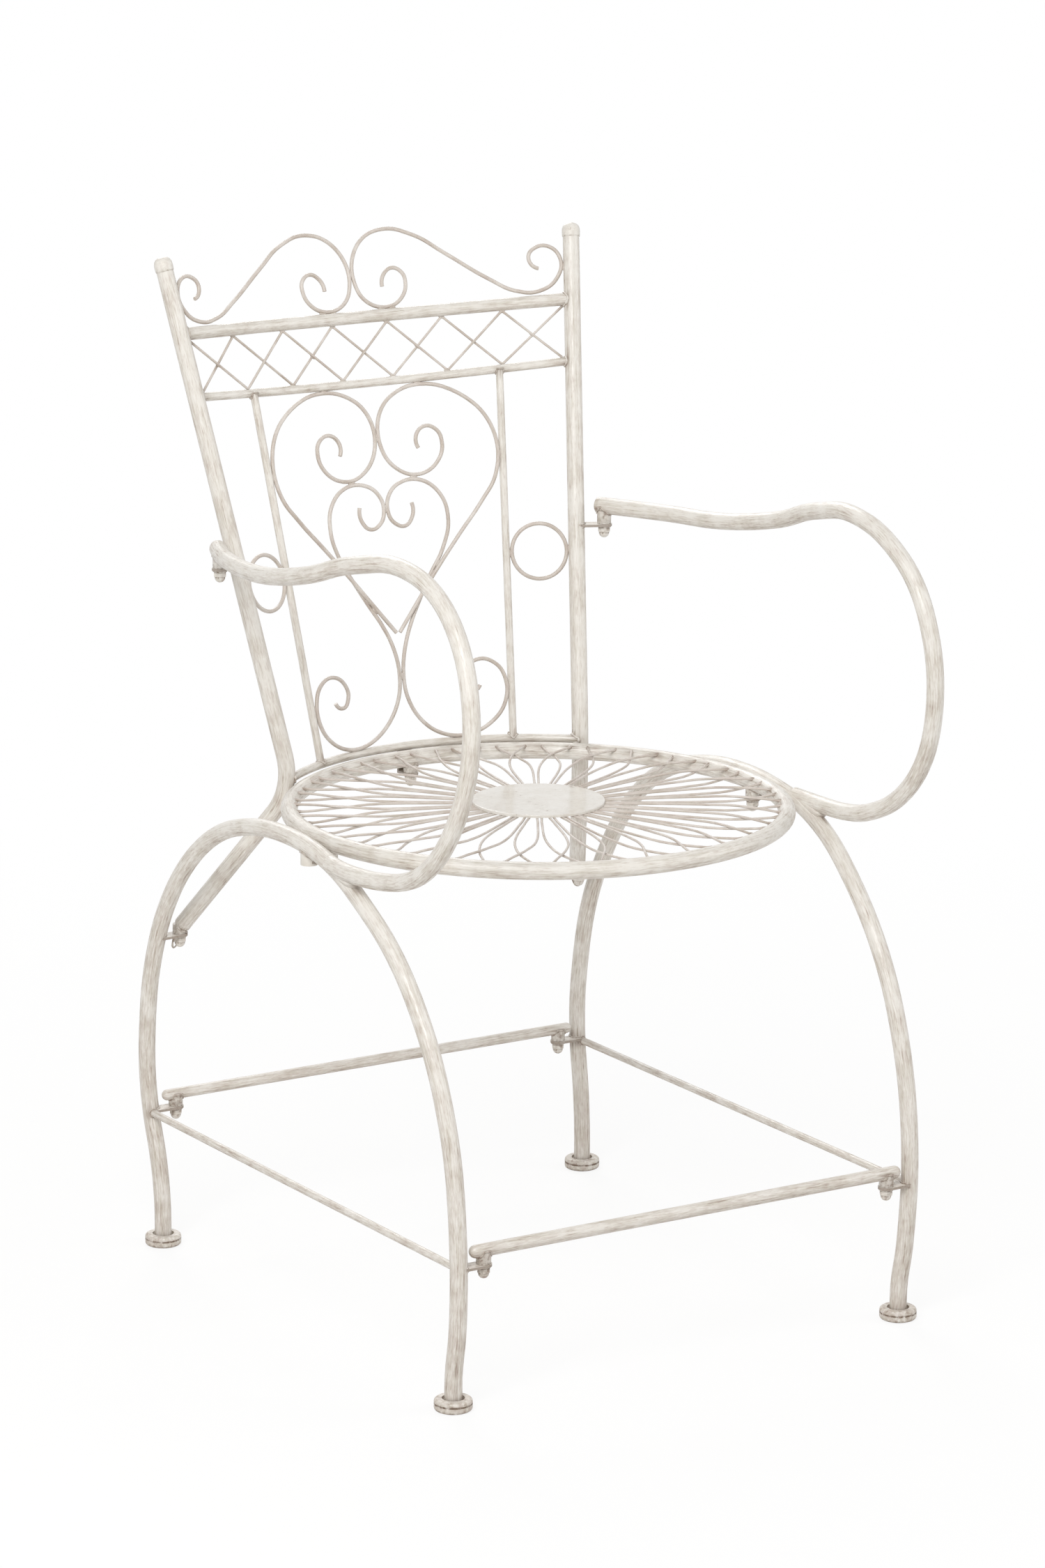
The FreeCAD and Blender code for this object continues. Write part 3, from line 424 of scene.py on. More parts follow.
def makeTubeTree():
    tree, sockets, given = startTree("tubeOnPath", [
        ("Path", "NodeSocketGeometry"), ("Tube Radius", "NodeSocketFloat"),
        ("Ring Segments", "NodeSocketInt"), ("Pattern Start", "NodeSocketFloat"),
        ("Paint", "NodeSocketMaterial")])
    path = addNode(tree, "GeometryNodeMeshToCurve", {}, {0: given["Path"]})
    tube = sweepSection(tree, path.outputs[0], given["Tube Radius"], given["Ring Segments"],
                        given["Pattern Start"])
    endTree(tree, tube, given["Paint"])
    return tree, sockets


tubeTree, tubeSockets = makeTubeTree()
made = []            # every finished piece
centrelines = []     # (name, points in mm, radius in mm) of each tube and wire, for the weld beads


def carrier(name, paths):
    # Paths as a mesh of edges with a thickness at each point, in the frame
    mesh = bpy.data.meshes.new(name)
    verts, edges, thickness = [], [], []
    for path in paths:
        first = len(verts)
        verts += [inFrame(p) for p in path["points"]]
        count = len(path["points"])
        edges += [(first + i, first + i + 1) for i in range(count - 1)]
        if path.get("closed"):
            edges.append((first + count - 1, first))
        thickness += path.get("thickness") or [1.0] * count
    mesh.from_pydata(verts, edges, [])
    mesh.attributes.new("thickness", "FLOAT", "POINT").data.foreach_set("value", thickness)
    piece = bpy.data.objects.new(name, mesh)
    bpy.context.scene.collection.objects.link(piece)
    return piece


def shaped(piece, tree, values):
    # Runs the tree once and keeps its result as a plain mesh
    modifier = piece.modifiers.new(tree.name, "NODES")
    modifier.node_group = tree
    for identifier, value in values.items():
        modifier[identifier] = value
    depsgraph = bpy.context.evaluated_depsgraph_get()
    result = bpy.data.meshes.new_from_object(piece.evaluated_get(depsgraph), preserve_all_data_layers=True,
                                             depsgraph=depsgraph)
    piece.modifiers.remove(modifier)
    piece.data = result
    result.name = piece.name
    return piece


def tubePiece(name, paths, radius, segments, paint, slotName, nodes):
    piece = carrier(name, paths)
    values = {tubeSockets["Tube Radius"]: radius * 0.001, tubeSockets["Ring Segments"]: segments,
              tubeSockets["Pattern Start"]: 3.7 * len(made), tubeSockets["Paint"]: paint}
    shaped(piece, tubeTree, values)
    for path in paths:
        centrelines.append((name, path["points"], radius))
    made.append((piece, slotName, nodes))
    return piece


def domed(points, way, radius, height, steps=5):
    # Adds a rounded closed end beyond the last point, as points and their thickness
    ball = (radius ** 2 + height ** 2) / (2 * height)
    extra, thickness = [], []
    for i in range(1, steps + 1):
        rise = height * math.sin(math.pi / 2 * i / steps)
        extra.append(points[-1] + way * rise)
        thickness.append(max(0.03, math.sqrt(max(0.0, ball ** 2 - (ball - height + rise) ** 2)) / radius))
    return extra, thickness


# Side frames: an arch from the rear foot past the seat to the front foot, and the arm let into it

seat = {"radius": 228.0, "height": 461.0}
tube = {"radius": 7.98, "segments": 28, "footHeight": 4.0, "kneeHeight": 20.0}
sideFrame = {
    "rearFoot": (9.0, 290.0), "frontFoot": (11.6, -247.8),
    "tubePoints": (
        (15.0, 308.0, -267.0), (17.0, 293.0, -188.0), (18.8, 262.0, -123.0), (18.0, 218.0, -68.0),
        (17.0, 161.5, -28.0), (17.2, 97.5, -7.5), (18.0, 34.0, -1.0), (18.7, -25.0, -5.2),
        (20.3, -67.0, -15.0), (20.5, -104.0, -32.0), (17.6, -150.0, -64.2), (15.6, -204.5, -126.0),
        (14.0, -244.0, -214.0), (13.5, -258.4, -311.0), (12.2, -256.0, -381.0)),
    "armPoints": (
        (21.8, -52.0, -8.4), (23.4, -72.0, -9.0), (23.4, -98.0, -8.6), (20.9, -132.0, -6.2),
        (18.0, -172.0, 1.6), (19.6, -216.0, 22.5), (19.6, -254.0, 62.0), (16.3, -276.0, 118.0),
        (13.0, -274.0, 181.0), (10.6, -250.0, 231.0), (8.6, -207.0, 263.6), (10.4, -151.0, 276.6),
        (17.6, -84.6, 267.4), (23.8, -10.0, 245.6), (20.0, 70.0, 231.0), (6.0, 157.0, 226.0),
        (-18.4, 223.0, 224.2)),
    "rodEnds": ((13.6, 303.0, 128.5), (13.0, -258.0, 132.5)), "rodRadius": 3.5,
    "flatCap": ((-0.4, 1.0), (0.0, 1.0), (2.7, 1.0), (3.9, 0.95), (4.6, 0.84), (5.0, 0.66), (5.0, 0.02)),
    "blockPlace": (17.5, -6.0), "blockTop": 453.0, "blockRadius": 7.75,
}
up = Vector((0, 0, 1))


def besideSeat(x, y, z):
    return Vector((seat["radius"] + x, y, z))


def besideRows(rows):
    return [besideSeat(x, y, seat["height"] + z) for x, y, z in rows]


def archPath():
    ends = [besideSeat(*sideFrame[foot], 0) for foot in ("rearFoot", "frontFoot")]
    knees = [end + up * tube["kneeHeight"] for end in ends]
    bases = [end + up * tube["footHeight"] for end in ends]
    points = [knees[0]] + besideRows(sideFrame["tubePoints"]) + [knees[1]]
    return [bases[0]] + smoothPath(points, firstWay=up, lastWay=-up) + [bases[1]]


def endCap(points, radius, rows):
    # Cap turned about the tube's end; rows: mm beyond the end and share of the tube's radius
    way = (points[-1] - points[-2]).normalized()
    return {"points": [points[-1] + way * rise for rise, _ in rows],
            "thickness": [width for _, width in rows]}


sidePath = archPath()
armPath = smoothPath(besideRows(sideFrame["armPoints"]))
rodPath = straightPath(*[besideSeat(*row) for row in sideFrame["rodEnds"]])
for side, turned in (("Left", list), ("Right", mirrored)):
    tail = side.lower()
    tubePiece("sideTube" + side, [{"points": turned(sidePath)}], tube["radius"], tube["segments"],
              framePaint, "frame_paint", ["side_tube_" + tail])
    tubePiece("armTube" + side, [{"points": turned(armPath)}], tube["radius"], tube["segments"],
              framePaint, "frame_paint", ["arm_tube_" + tail])
    tubePiece("sideRod" + side, [{"points": turned(rodPath)}], sideFrame["rodRadius"], 16,
              framePaint, "frame_paint", ["side_rod_" + tail])
caps = [endCap(turned(armPath), tube["radius"], sideFrame["flatCap"]) for turned in (list, mirrored)]
tubePiece("armEndCaps", caps, tube["radius"], tube["segments"], framePaint, "frame_paint", ["arm_end_caps"])
print("stage 4: side frames")


# Leaning back: posts, rails, bars, lattice and scrolls on a bowed panel

back = {
    "postAngle": 48.1, "postClearance": 8.8, "spread": 0.1337, "lean": 0.262,
    "bendRise": 0.5, "bendRadius": 60.0, "postEnd": (-8.4, 276.0, -142.4),
    "bow": 36.0, "bowGain": 0.0003, "bowMiddle": 740.0,
    "topRail": 876.0, "topTilt": 9.5, "topRadius": 6.0,
    "secondRail": 819.0, "secondRadius": 4.1,
    "postTop": 941.5,
    "bottomRail": 470.5, "bottomSweep": 239.0, "bottomRadius": 4.0,
    "barTop": 0.6526, "barFoot": 0.6657, "barSet": 2.5, "barSink": 1.5, "barRadius": 3.6,
    "latticeBays": 7, "topInset": 8.8, "secondInset": 10.3, "latticeBend": 3.0, "latticeRadius": 1.2,
    "ringHeight": 644.0, "scrollRadius": 1.9, "weldBite": 0.1,
    "knobCap": ((-9.0, 0.98), (-8.6, 1.05), (-7.0, 1.09), (-2.5, 1.09), (-0.5, 1.06), (1.2, 0.98),
                (2.8, 0.84), (4.0, 0.64), (4.8, 0.36), (5.0, 0.02)),
}
crestRows = (
    (31.5, 30.0), (35.5, 41.5), (45.0, 46.5), (54.5, 41.0), (56.0, 29.0), (46.0, 15.1), (29.0, 10.9),
    (11.5, 18.0), (2.0, 40.0), (6.5, 61.0), (23.0, 78.0), (46.0, 83.0), (73.5, 74.5), (102.0, 54.5),
    (138.0, 28.0), (162.0, 13.5), (181.0, 10.0), (201.5, 19.0), (208.9, 35.5), (202.5, 49.0),
    (190.5, 52.0), (180.0, 42.5), (187.5, 31.5))
heartRows = (
    (43.0, 755.0), (43.0, 768.0), (52.5, 774.5), (64.5, 769.5), (68.0, 755.0), (58.0, 738.0),
    (37.0, 731.0), (14.0, 741.0), (1.9, 768.0), (10.0, 795.0), (32.0, 810.0), (60.0, 812.9),
    (92.0, 801.0), (114.5, 779.0), (122.9, 750.0), (116.5, 721.0), (99.0, 698.5), (74.0, 672.0),
    (45.0, 640.0), (20.0, 610.6), (2.0, 589.4))
lyreRows = (
    (28.5, 706.0), (28.0, 694.0), (19.0, 685.5), (7.0, 690.0), (1.9, 703.0), (8.5, 719.0),
    (26.0, 727.0), (46.0, 723.5), (61.5, 707.0), (64.5, 685.5), (56.5, 661.0, 1.6), (41.5, 638.0, 3.7),
    (26.0, 613.5, 3.2), (17.5, 600.0, 1.8), (8.0, 580.0, 0.4), (2.4, 556.0), (4.8, 530.0),
    (16.5, 509.0), (34.5, 494.5), (58.0, 488.2), (84.0, 494.5), (100.5, 511.0), (104.5, 531.0),
    (97.5, 548.5), (82.0, 556.0), (67.5, 549.5), (63.0, 537.0), (70.0, 527.0), (79.5, 532.0))
leanAngle = math.atan(back["lean"])


def postX(z):
    atSeat = (seat["radius"] + back["postClearance"]) * math.cos(math.radians(back["postAngle"]))
    return atSeat + back["spread"] * (z - seat["height"] - back["bendRise"])


def postY(z):
    atSeat = (seat["radius"] + back["postClearance"]) * math.sin(math.radians(back["postAngle"]))
    return atSeat + back["lean"] * (z - seat["height"] - back["bendRise"])


def bowDepth(x, z):
    bow = back["bow"] + back["bowGain"] * (z - back["bowMiddle"]) ** 2
    sweep = (postX(z) ** 2 + bow ** 2) / (2 * bow)
    return math.sqrt(sweep ** 2 - x ** 2) - (sweep - bow)


def railPoint(x, z, tilt):
    depth = bowDepth(x, z)
    return Vector((x, postY(z) + depth * math.cos(tilt), z - depth * math.sin(tilt)))


def onPanel(x, z, lift=0.0):
    depth = bowDepth(x, z) + lift
    return Vector((x, postY(z) + depth * math.cos(leanAngle), z - depth * math.sin(leanAngle)))


def railPath(z, tilt):
    width = postX(z)
    return [railPoint(width * (1 - i / 24), z, tilt) for i in range(49)]


def bottomRailPath():
    ends = math.atan2(postY(back["bottomRail"]), postX(back["bottomRail"]))
    turns = [ends + (math.pi - 2 * ends) * i / 48 for i in range(49)]
    sweep = back["bottomSweep"]
    return [Vector((sweep * math.cos(t), sweep * math.sin(t), back["bottomRail"])) for t in turns]


def barEnds():
    footX = back["barFoot"] * postX(back["bottomRail"])
    foot = Vector((footX, math.sqrt(back["bottomSweep"] ** 2 - footX ** 2),
                   back["bottomRail"] + back["barSink"]))
    top = railPoint(back["barTop"] * postX(back["secondRail"]), back["secondRail"], leanAngle)
    return foot, top - Vector((0, back["barSet"], 0))


def latticePath(firstRow, lift):
    topTilt = math.radians(back["topTilt"])
    rows = ((back["topRail"], topTilt, back["topInset"], -back["topRadius"]),
            (back["secondRail"], leanAngle, back["secondInset"], back["secondRadius"]))
    panelUp = Vector((0, math.sin(leanAngle), math.cos(leanAngle)))
    panelBack = Vector((0, math.cos(leanAngle), -math.sin(leanAngle)))
    corners = []
    for i in range(back["latticeBays"] + 1):
        z, tilt, inset, edge = rows[(firstRow + i) % 2]
        x = (2 * i / back["latticeBays"] - 1) * (postX(z) - inset)
        corners.append(railPoint(x, z, tilt) + panelUp * edge + panelBack * lift)
    return roundedPath(corners, back["latticeBend"])


def ringPath():
    z = back["ringHeight"]
    foot, top = barEnds()
    onBar = foot + (top - foot) * ((z - foot.z) / (top.z - foot.z))
    across = Vector((postX(z), postY(z), z)) - onBar
    gap = across.length - back["barRadius"] - tube["radius"]
    centre = onBar + across.normalized() * (back["barRadius"] + gap / 2)
    facing = across.cross(Vector((0, back["lean"], 1))).normalized()
    radius = gap / 2 - back["scrollRadius"] + back["weldBite"]
    first = across.normalized()
    second = facing.cross(first)
    return [centre + (first * math.cos(t * math.pi / 24) + second * math.sin(t * math.pi / 24)) * radius
            for t in range(48)]


postHeights = (back["postTop"], seat["height"] + back["bendRise"])
postPath = roundedPath([Vector((postX(z), postY(z), z)) for z in postHeights] + besideRows([back["postEnd"]]),
                       back["bendRadius"])
crestPath = smoothPath([onPanel(x, back["topRail"] + z) for x, z in crestRows])
heartPath = smoothPath([onPanel(*row) for row in heartRows])
lyrePath = smoothPath([onPanel(*row) for row in lyreRows])
barPath = straightPath(*barEnds())
for side, turned in (("Left", list), ("Right", mirrored)):
    tail = side.lower()
    tubePiece("backPost" + side, [{"points": turned(postPath)}], tube["radius"], tube["segments"],
              framePaint, "frame_paint", ["back_post_" + tail])
    tubePiece("innerBar" + side, [{"points": turned(barPath)}], back["barRadius"], 16,
              framePaint, "frame_paint", ["inner_bar_" + tail])
    for name, path, node in (("crestScroll", crestPath, "crest_scroll_"),
                             ("heartScroll", heartPath, "heart_scroll_"),
                             ("lyreScroll", lyrePath, "lyre_scroll_")):
        tubePiece(name + side, [{"points": turned(path)}], back["scrollRadius"], 12,
                  wirePaint, "scroll_paint", [node + tail])
    tubePiece("sideRing" + side, [{"points": turned(ringPath()), "closed": True}], back["scrollRadius"], 12,
              wirePaint, "scroll_paint", ["side_ring_" + tail])
tubePiece("topRail", [{"points": railPath(back["topRail"], math.radians(back["topTilt"]))}],
          back["topRadius"], 24, framePaint, "frame_paint", ["top_rail"])
tubePiece("secondRail", [{"points": railPath(back["secondRail"], leanAngle)}], back["secondRadius"], 20,
          framePaint, "frame_paint", ["second_rail"])
tubePiece("bottomRail", [{"points": bottomRailPath()}], back["bottomRadius"], 20,
          framePaint, "frame_paint", ["bottom_rail"])
tubePiece("latticeFront", [{"points": latticePath(0, -back["latticeRadius"])}], back["latticeRadius"], 10,
          wirePaint, "scroll_paint", ["lattice_wire_front"])
tubePiece("latticeRear", [{"points": latticePath(1, back["latticeRadius"])}], back["latticeRadius"], 10,
          wirePaint, "scroll_paint", ["lattice_wire_rear"])
for name, points, node, rows, paint in (
        ("postTopCaps", postPath[::-1], "post_top_caps", back["knobCap"], hardwarePaint),
        ("postFootCaps", postPath, "post_foot_caps", sideFrame["flatCap"], framePaint)):
    caps = [endCap(turned(points), tube["radius"], rows) for turned in (list, mirrored)]
    tubePiece(name, caps, tube["radius"], tube["segments"], paint, "frame_paint", [node])
print("stage 5: back")


# Seat: round rim, 32 petal wires that cross near it and a plate over their bends

petal = {
    "count": 32, "turn": -2.8, "wireRadius": 1.15, "rise": 5.0, "lift": 1.25, "seed": 4,
    "rows": ((70.7, 5.2), (88.0, 6.6), (110.6, 8.6), (133.4, 9.7), (156.2, 8.6), (174.0, 5.2),
             (190.8, 0.0), (206.0, -6.8)),
    "end": (-14.0, 223.5), "hairpin": (3.4, 53.0), "rimTouch": 221.6,
    "puddle": ((7.0, 1.0), (5.2, 1.1), (3.6, 1.35), (1.9, 1.6), (0.0, 1.6)),   # mm from the end, thickness
}


def petalPath():
    reach = petal["end"][1]
    leg = [Vector((petal["end"][0], -reach, 0))]
    for radius, width in reversed(petal["rows"]):
        lift = petal["lift"] * min(1.0, (reach - radius) / 20) * max(0.0, min(1.0, (radius - 150) / 25))
        leg.append(Vector((width, -radius, lift)))
    bendRadius, bendReach = petal["hairpin"]
    leg.append(Vector((bendRadius, -bendReach, 0)))
    otherLeg = [Vector((-p.x, p.y, -p.z)) for p in reversed(leg)]
    inward = Vector((0, 1, 0))
    bend = [Vector((bendRadius * math.cos(t * math.pi / 10),
                    bendRadius * math.sin(t * math.pi / 10) - bendReach, 0)) for t in range(1, 10)]
    path = smoothPath(leg, lastWay=inward) + bend + smoothPath(otherLeg, firstWay=-inward)
    path = [p + up * (seat["height"] + petal["rise"]) for p in path]
    end = path[-1]
    kept = [p for p in path if (p - end).length > 8.5 and (p - path[0]).length > 8.5]
    way = (kept[-1] - end).normalized()
    firstWay = (kept[0] - path[0]).normalized()
    last = [end + way * away for away, _ in petal["puddle"]]
    first = [path[0] + firstWay * away for away, _ in reversed(petal["puddle"])]
    widths = [width for _, width in petal["puddle"]]
    return {"points": first + kept + last, "thickness": widths[::-1] + [1.0] * len(kept) + widths}


def makePetalTree():
    tree, sockets, given = startTree("petalWires", [
        ("Path", "NodeSocketGeometry"), ("Wire Radius", "NodeSocketFloat"), ("Petals", "NodeSocketInt"),
        ("First Turn", "NodeSocketFloat"), ("Axis Y", "NodeSocketFloat"), ("Paint", "NodeSocketMaterial")])
    path = addNode(tree, "GeometryNodeMeshToCurve", {}, {0: given["Path"]})
    segments = addNode(tree, "FunctionNodeInputInt", {"integer": 10})
    start = addNode(tree, "ShaderNodeValue")
    wire = sweepSection(tree, path.outputs[0], given["Wire Radius"], segments.outputs[0], start.outputs[0])
    single = addNode(tree, "GeometryNodeGeometryToInstance", {}, {0: wire})
    copies = addNode(tree, "GeometryNodeDuplicateElements", {"domain": "INSTANCE"},
                     {0: single.outputs[0], 2: given["Petals"]})
    pitch = addNode(tree, "ShaderNodeMath", {"operation": "DIVIDE", 0: 2 * math.pi}, {1: given["Petals"]})
    turned = addNode(tree, "ShaderNodeMath", {"operation": "MULTIPLY_ADD"},
                     {0: copies.outputs["Duplicate Index"], 1: pitch.outputs[0], 2: given["First Turn"]})
    angles = addNode(tree, "ShaderNodeCombineXYZ", {}, {2: turned.outputs[0]})
    pivot = addNode(tree, "ShaderNodeCombineXYZ", {}, {1: given["Axis Y"]})
    fan = addNode(tree, "GeometryNodeRotateInstances", {4: False},
                  {0: copies.outputs[0], 2: angles.outputs[0], 3: pivot.outputs[0]})
    loose = addNode(tree, "GeometryNodeRealizeInstances", {}, {0: fan.outputs[0]})
    island = addNode(tree, "GeometryNodeInputMeshIsland")
    # Another stretch of streaks on each wire
    which = addNode(tree, "FunctionNodeRandomValue", {2: 0.0, 3: 9.0, 8: petal["seed"]},
                    {7: island.outputs[0]})
    shift = addNode(tree, "ShaderNodeCombineXYZ", {}, {2: which.outputs[1]})
    old = addNode(tree, "GeometryNodeInputNamedAttribute", {"data_type": "FLOAT_VECTOR", 0: "straight"})
    new = addNode(tree, "ShaderNodeVectorMath", {"operation": "ADD"},
                  {0: old.outputs[0], 1: shift.outputs[0]})
    varied = addNode(tree, "GeometryNodeStoreNamedAttribute", {"data_type": "FLOAT_VECTOR", 2: "straight"},
                     {0: loose.outputs[0], 3: new.outputs[0]})
    endTree(tree, varied.outputs[0], given["Paint"])
    return tree, sockets


petalTree, petalSockets = makePetalTree()
seatWires = shaped(carrier("seatWires", [petalPath()]), petalTree, {
    petalSockets["Wire Radius"]: petal["wireRadius"] * 0.001, petalSockets["Petals"]: petal["count"],
    petalSockets["First Turn"]: math.radians(petal["turn"]),
    petalSockets["Axis Y"]: -frameOriginY * 0.001, petalSockets["Paint"]: wirePaint})
made.append((seatWires, "seat_wire_paint", ["seat_wires"]))
rimPath = [Vector((math.cos(t * math.pi / 72), math.sin(t * math.pi / 72), 0)) * seat["radius"]
           + up * seat["height"] for t in range(144)]
rimPath = rimPath[36:] + rimPath[:36]      # its seam lies at the back
tubePiece("seatRim", [{"points": rimPath, "closed": True}], tube["radius"], tube["segments"],
          framePaint, "frame_paint", ["seat_rim"])
print("stage 6: seat")


# Stretchers: round bars with rounded ends

stretchers = {
    "rearStretcher": {"y": 302.6, "z": 143.0, "radius": 5.25, "node": "rear_stretcher"},
    "frontStretcher": {"y": -258.3, "z": 146.0, "radius": 6.0, "node": "front_stretcher"},
}
for name, bar in stretchers.items():
    half = seat["radius"] + 2.0 - bar["radius"]
    core = straightPath(Vector((-half, bar["y"], bar["z"])), Vector((half, bar["y"], bar["z"])))
    leftEnd, thickness = domed(core, Vector((1, 0, 0)), bar["radius"], bar["radius"])
    rightEnd = mirrored(leftEnd[::-1])
    tubePiece(name, [{"points": rightEnd + core + leftEnd,
                      "thickness": thickness[::-1] + [1.0] * len(core) + thickness}],
              bar["radius"], 20, framePaint, "frame_paint", [bar["node"]])
print("stage 7: stretchers")


# Bolts: boss, washer and acorn nut as turned pieces, each hanging from what it is welded to

bolts = {       # place of the tab's top face, top of the boss, and what the boss is welded to
    "rearStretcher": {"at": (215.5, 302.6, 131.75), "top": 143.0, "node": "rear_stretcher_bosses"},
    "frontStretcher": {"at": (215.5, -258.3, 134.0), "top": 146.0, "node": "front_stretcher_bosses"},
    "armTube": {"at": (210.1, 219.0, 668.5), "top": 681.0, "node": "arm_bosses", "paired": True},
    "backPost": {"at": (222.8, 278.4, 308.4), "top": 317.4, "node": "post_foot_bosses", "paired": True},
    "seatRim": {"at": (228.0, -14.0, 446.0), "top": 456.7, "node": "seat_bosses"},
    "rimBack": {"at": (0.0, 228.0, 447.5), "top": 456.7, "node": "back_seat_boss", "held": "seatRim"},
}
turning = {
    "bossRadius": 6.75, "tabThickness": 2.4, "washerRadius": 6.8, "washerThickness": 1.2,
    "nutCorner": 6.35, "hexHeight": 4.8, "domeRadius": 5.0, "nutHeight": 10.2, "segments": 24,
}
seams = []      # points in mm where brown glaze gathers, with how far it spreads


def turnedPath(place, rows, radius):
    # rows: height below the bolt's tab face and radius there
    x, y, z = place
    return {"points": [Vector((x, y, z - drop)) for drop, _ in rows],
            "thickness": [width / radius for _, width in rows]}


def seamRing(centre, radius, spread, axis=up):
    first = axis.orthogonal().normalized()
    second = axis.cross(first)
    for i in range(10):
        turn = 2 * math.pi * i / 10
        seams.append((centre + (first * math.cos(turn) + second * math.sin(turn)) * radius, spread))


bossRows, washerRows, hexRows, domeRows = {}, [], [], []
for name, bolt in bolts.items():
    x, y, z = bolt["at"]
    rise = bolt["top"] - z
    full, thick = turning["bossRadius"], turning["washerThickness"]
    below = turning["tabThickness"]
    boss = ((-rise, full), (-rise + 0.5, full), (-1.3, full), (-0.9, full - 0.5), (-0.55, full),
            (-0.25, full - 0.1), (0.0, full - 0.5))
    rim = turning["washerRadius"]
    washer = ((below, rim - 0.4), (below + 0.3, rim), (below + thick - 0.3, rim), (below + thick, rim - 0.5))
    hexTop = below + thick
    corner = turning["nutCorner"]
    hexagon = ((hexTop, corner - 0.7), (hexTop + 0.5, corner), (hexTop + turning["hexHeight"] - 0.7, corner),
               (hexTop + turning["hexHeight"], corner - 1.2))
    ball = turning["domeRadius"]
    crown = hexTop + turning["nutHeight"] - ball
    dome = [(hexTop + turning["hexHeight"] - 0.6, ball), (crown, ball)]
    dome += [(crown + ball * math.sin(t * math.pi / 12), max(0.05, ball * math.cos(t * math.pi / 12)))
             for t in range(1, 7)]
    places = [(x, y, z)] if x == 0 else [(x, y, z), (-x, y, z)]
    for place in places:
        bossRows.setdefault(name, []).append(turnedPath(place, boss, full))
        washerRows.append(turnedPath(place, washer, rim))
        hexRows.append(turnedPath(place, hexagon, corner))
        domeRows.append(turnedPath(place, dome, ball))
        for drop, radius, spread in ((0.0, full, 0.7), (below, rim, 0.8), (hexTop, corner, 0.7),
                                     (hexTop + turning["hexHeight"], ball, 0.6)):
            seamRing(Vector(place) - up * drop, radius, spread)
for name, paths in bossRows.items():
    tubePiece(name + "Boss", paths, turning["bossRadius"], turning["segments"], hardwarePaint,
              "hardware_paint", [bolts[name]["node"]])
tubePiece("boltWashers", washerRows, turning["washerRadius"], turning["segments"], hardwarePaint,
          "hardware_paint", ["bolt_washers"])
nuts = tubePiece("acornNuts", domeRows, turning["domeRadius"], turning["segments"], hardwarePaint,
                 "hardware_paint", ["acorn_nuts"])
hexes = shaped(carrier("nutHexes", hexRows), tubeTree, {
    tubeSockets["Tube Radius"]: turning["nutCorner"] * 0.001, tubeSockets["Ring Segments"]: 6,
    tubeSockets["Pattern Start"]: 0.4, tubeSockets["Paint"]: hardwarePaint})
for face in hexes.data.polygons:
    face.use_smooth = False
both = bmesh.new()
both.from_mesh(nuts.data)
both.from_mesh(hexes.data)
both.to_mesh(nuts.data)
both.free()
bpy.data.objects.remove(hexes)
print("stage 8: bolts")


# Welds: collars round rod ends, beads along tabs, tacks where wires touch, and the web that
# fills the fork between arm tube and arch

weld = {"bead": 1.3, "tackLength": 8.0, "tackRadius": 1.7, "touch": 0.6, "apart": 11.0, "webGap": 19.5}


def wholePath(name):
    return next(points for given, points, _ in centrelines if given == name)


def nearestOn(path, point):
    # Closest point of a path and the way it runs there
    best = None
    for start, end in zip(path, path[1:]):
        span = end - start
        share = max(0.0, min(1.0, (point - start).dot(span) / span.dot(span)))
        spot = start + span * share
        if best is None or (spot - point).length < best[2]:
            best = (spot, span.normalized(), (spot - point).length)
    return best[0], best[1]


def collar(tip, way, rodRadius, host, hostRadius, bead, spread=1.3):
    # Ring of weld where a rod, running off along its way, meets a tube
    spot, axis = nearestOn(host, tip)
    first = (axis - way * axis.dot(way)).normalized()
    second = way.cross(first)
    run = way - axis * way.dot(axis)
    ring, thickness = [], []
    for i in range(28):
        turn = 2 * math.pi * i / 28
        out = (first * math.cos(turn) + second * math.sin(turn)) * (rodRadius + 0.25 * bead) + tip - spot
        flat = out - axis * out.dot(axis)
        reach = hostRadius + 0.15 * bead
        root = max(0.0, flat.dot(run) ** 2 - run.dot(run) * (flat.dot(flat) - reach ** 2))
        ring.append(spot + out + way * ((math.sqrt(root) - flat.dot(run)) / run.dot(run)))
        thickness.append(bead * (1 + 0.16 * math.sin(5 * turn + tip.z) + 0.1 * math.sin(9 * turn)))
    seams.extend((p, spread) for p in ring[::3])
    return {"points": ring, "closed": True, "thickness": thickness}


def tabBead(place, host, hostRadius, drop):
    # Bead round the side of a standing tube where a flat tab runs into it
    x, y, z = place
    level = Vector((x, y, z - drop))
    spot, axis = nearestOn(host, level)
    toward = (level - spot - axis * (level - spot).dot(axis)).normalized()
    side = axis.cross(toward)
    turns = [math.radians(-66 + 12 * i) for i in range(12)]
    points = [spot + (toward * math.cos(t) + side * math.sin(t)) * hostRadius for t in turns]
    points = [Vector((p.x, p.y, level.z)) for p in points]
    seams.extend((p, 1.4) for p in points[1:-1:2])
    return {"points": points, "thickness": [0.3] + [0.85 + 0.12 * math.sin(5 * i) for i in range(10)] + [0.3]}


def resampled(points, step):
    path = [points[0]]
    for start, end in zip(points, points[1:]):
        count = max(1, round((end - start).length / step))
        path += [start.lerp(end, i / count) for i in range(1, count + 1)]
    return path


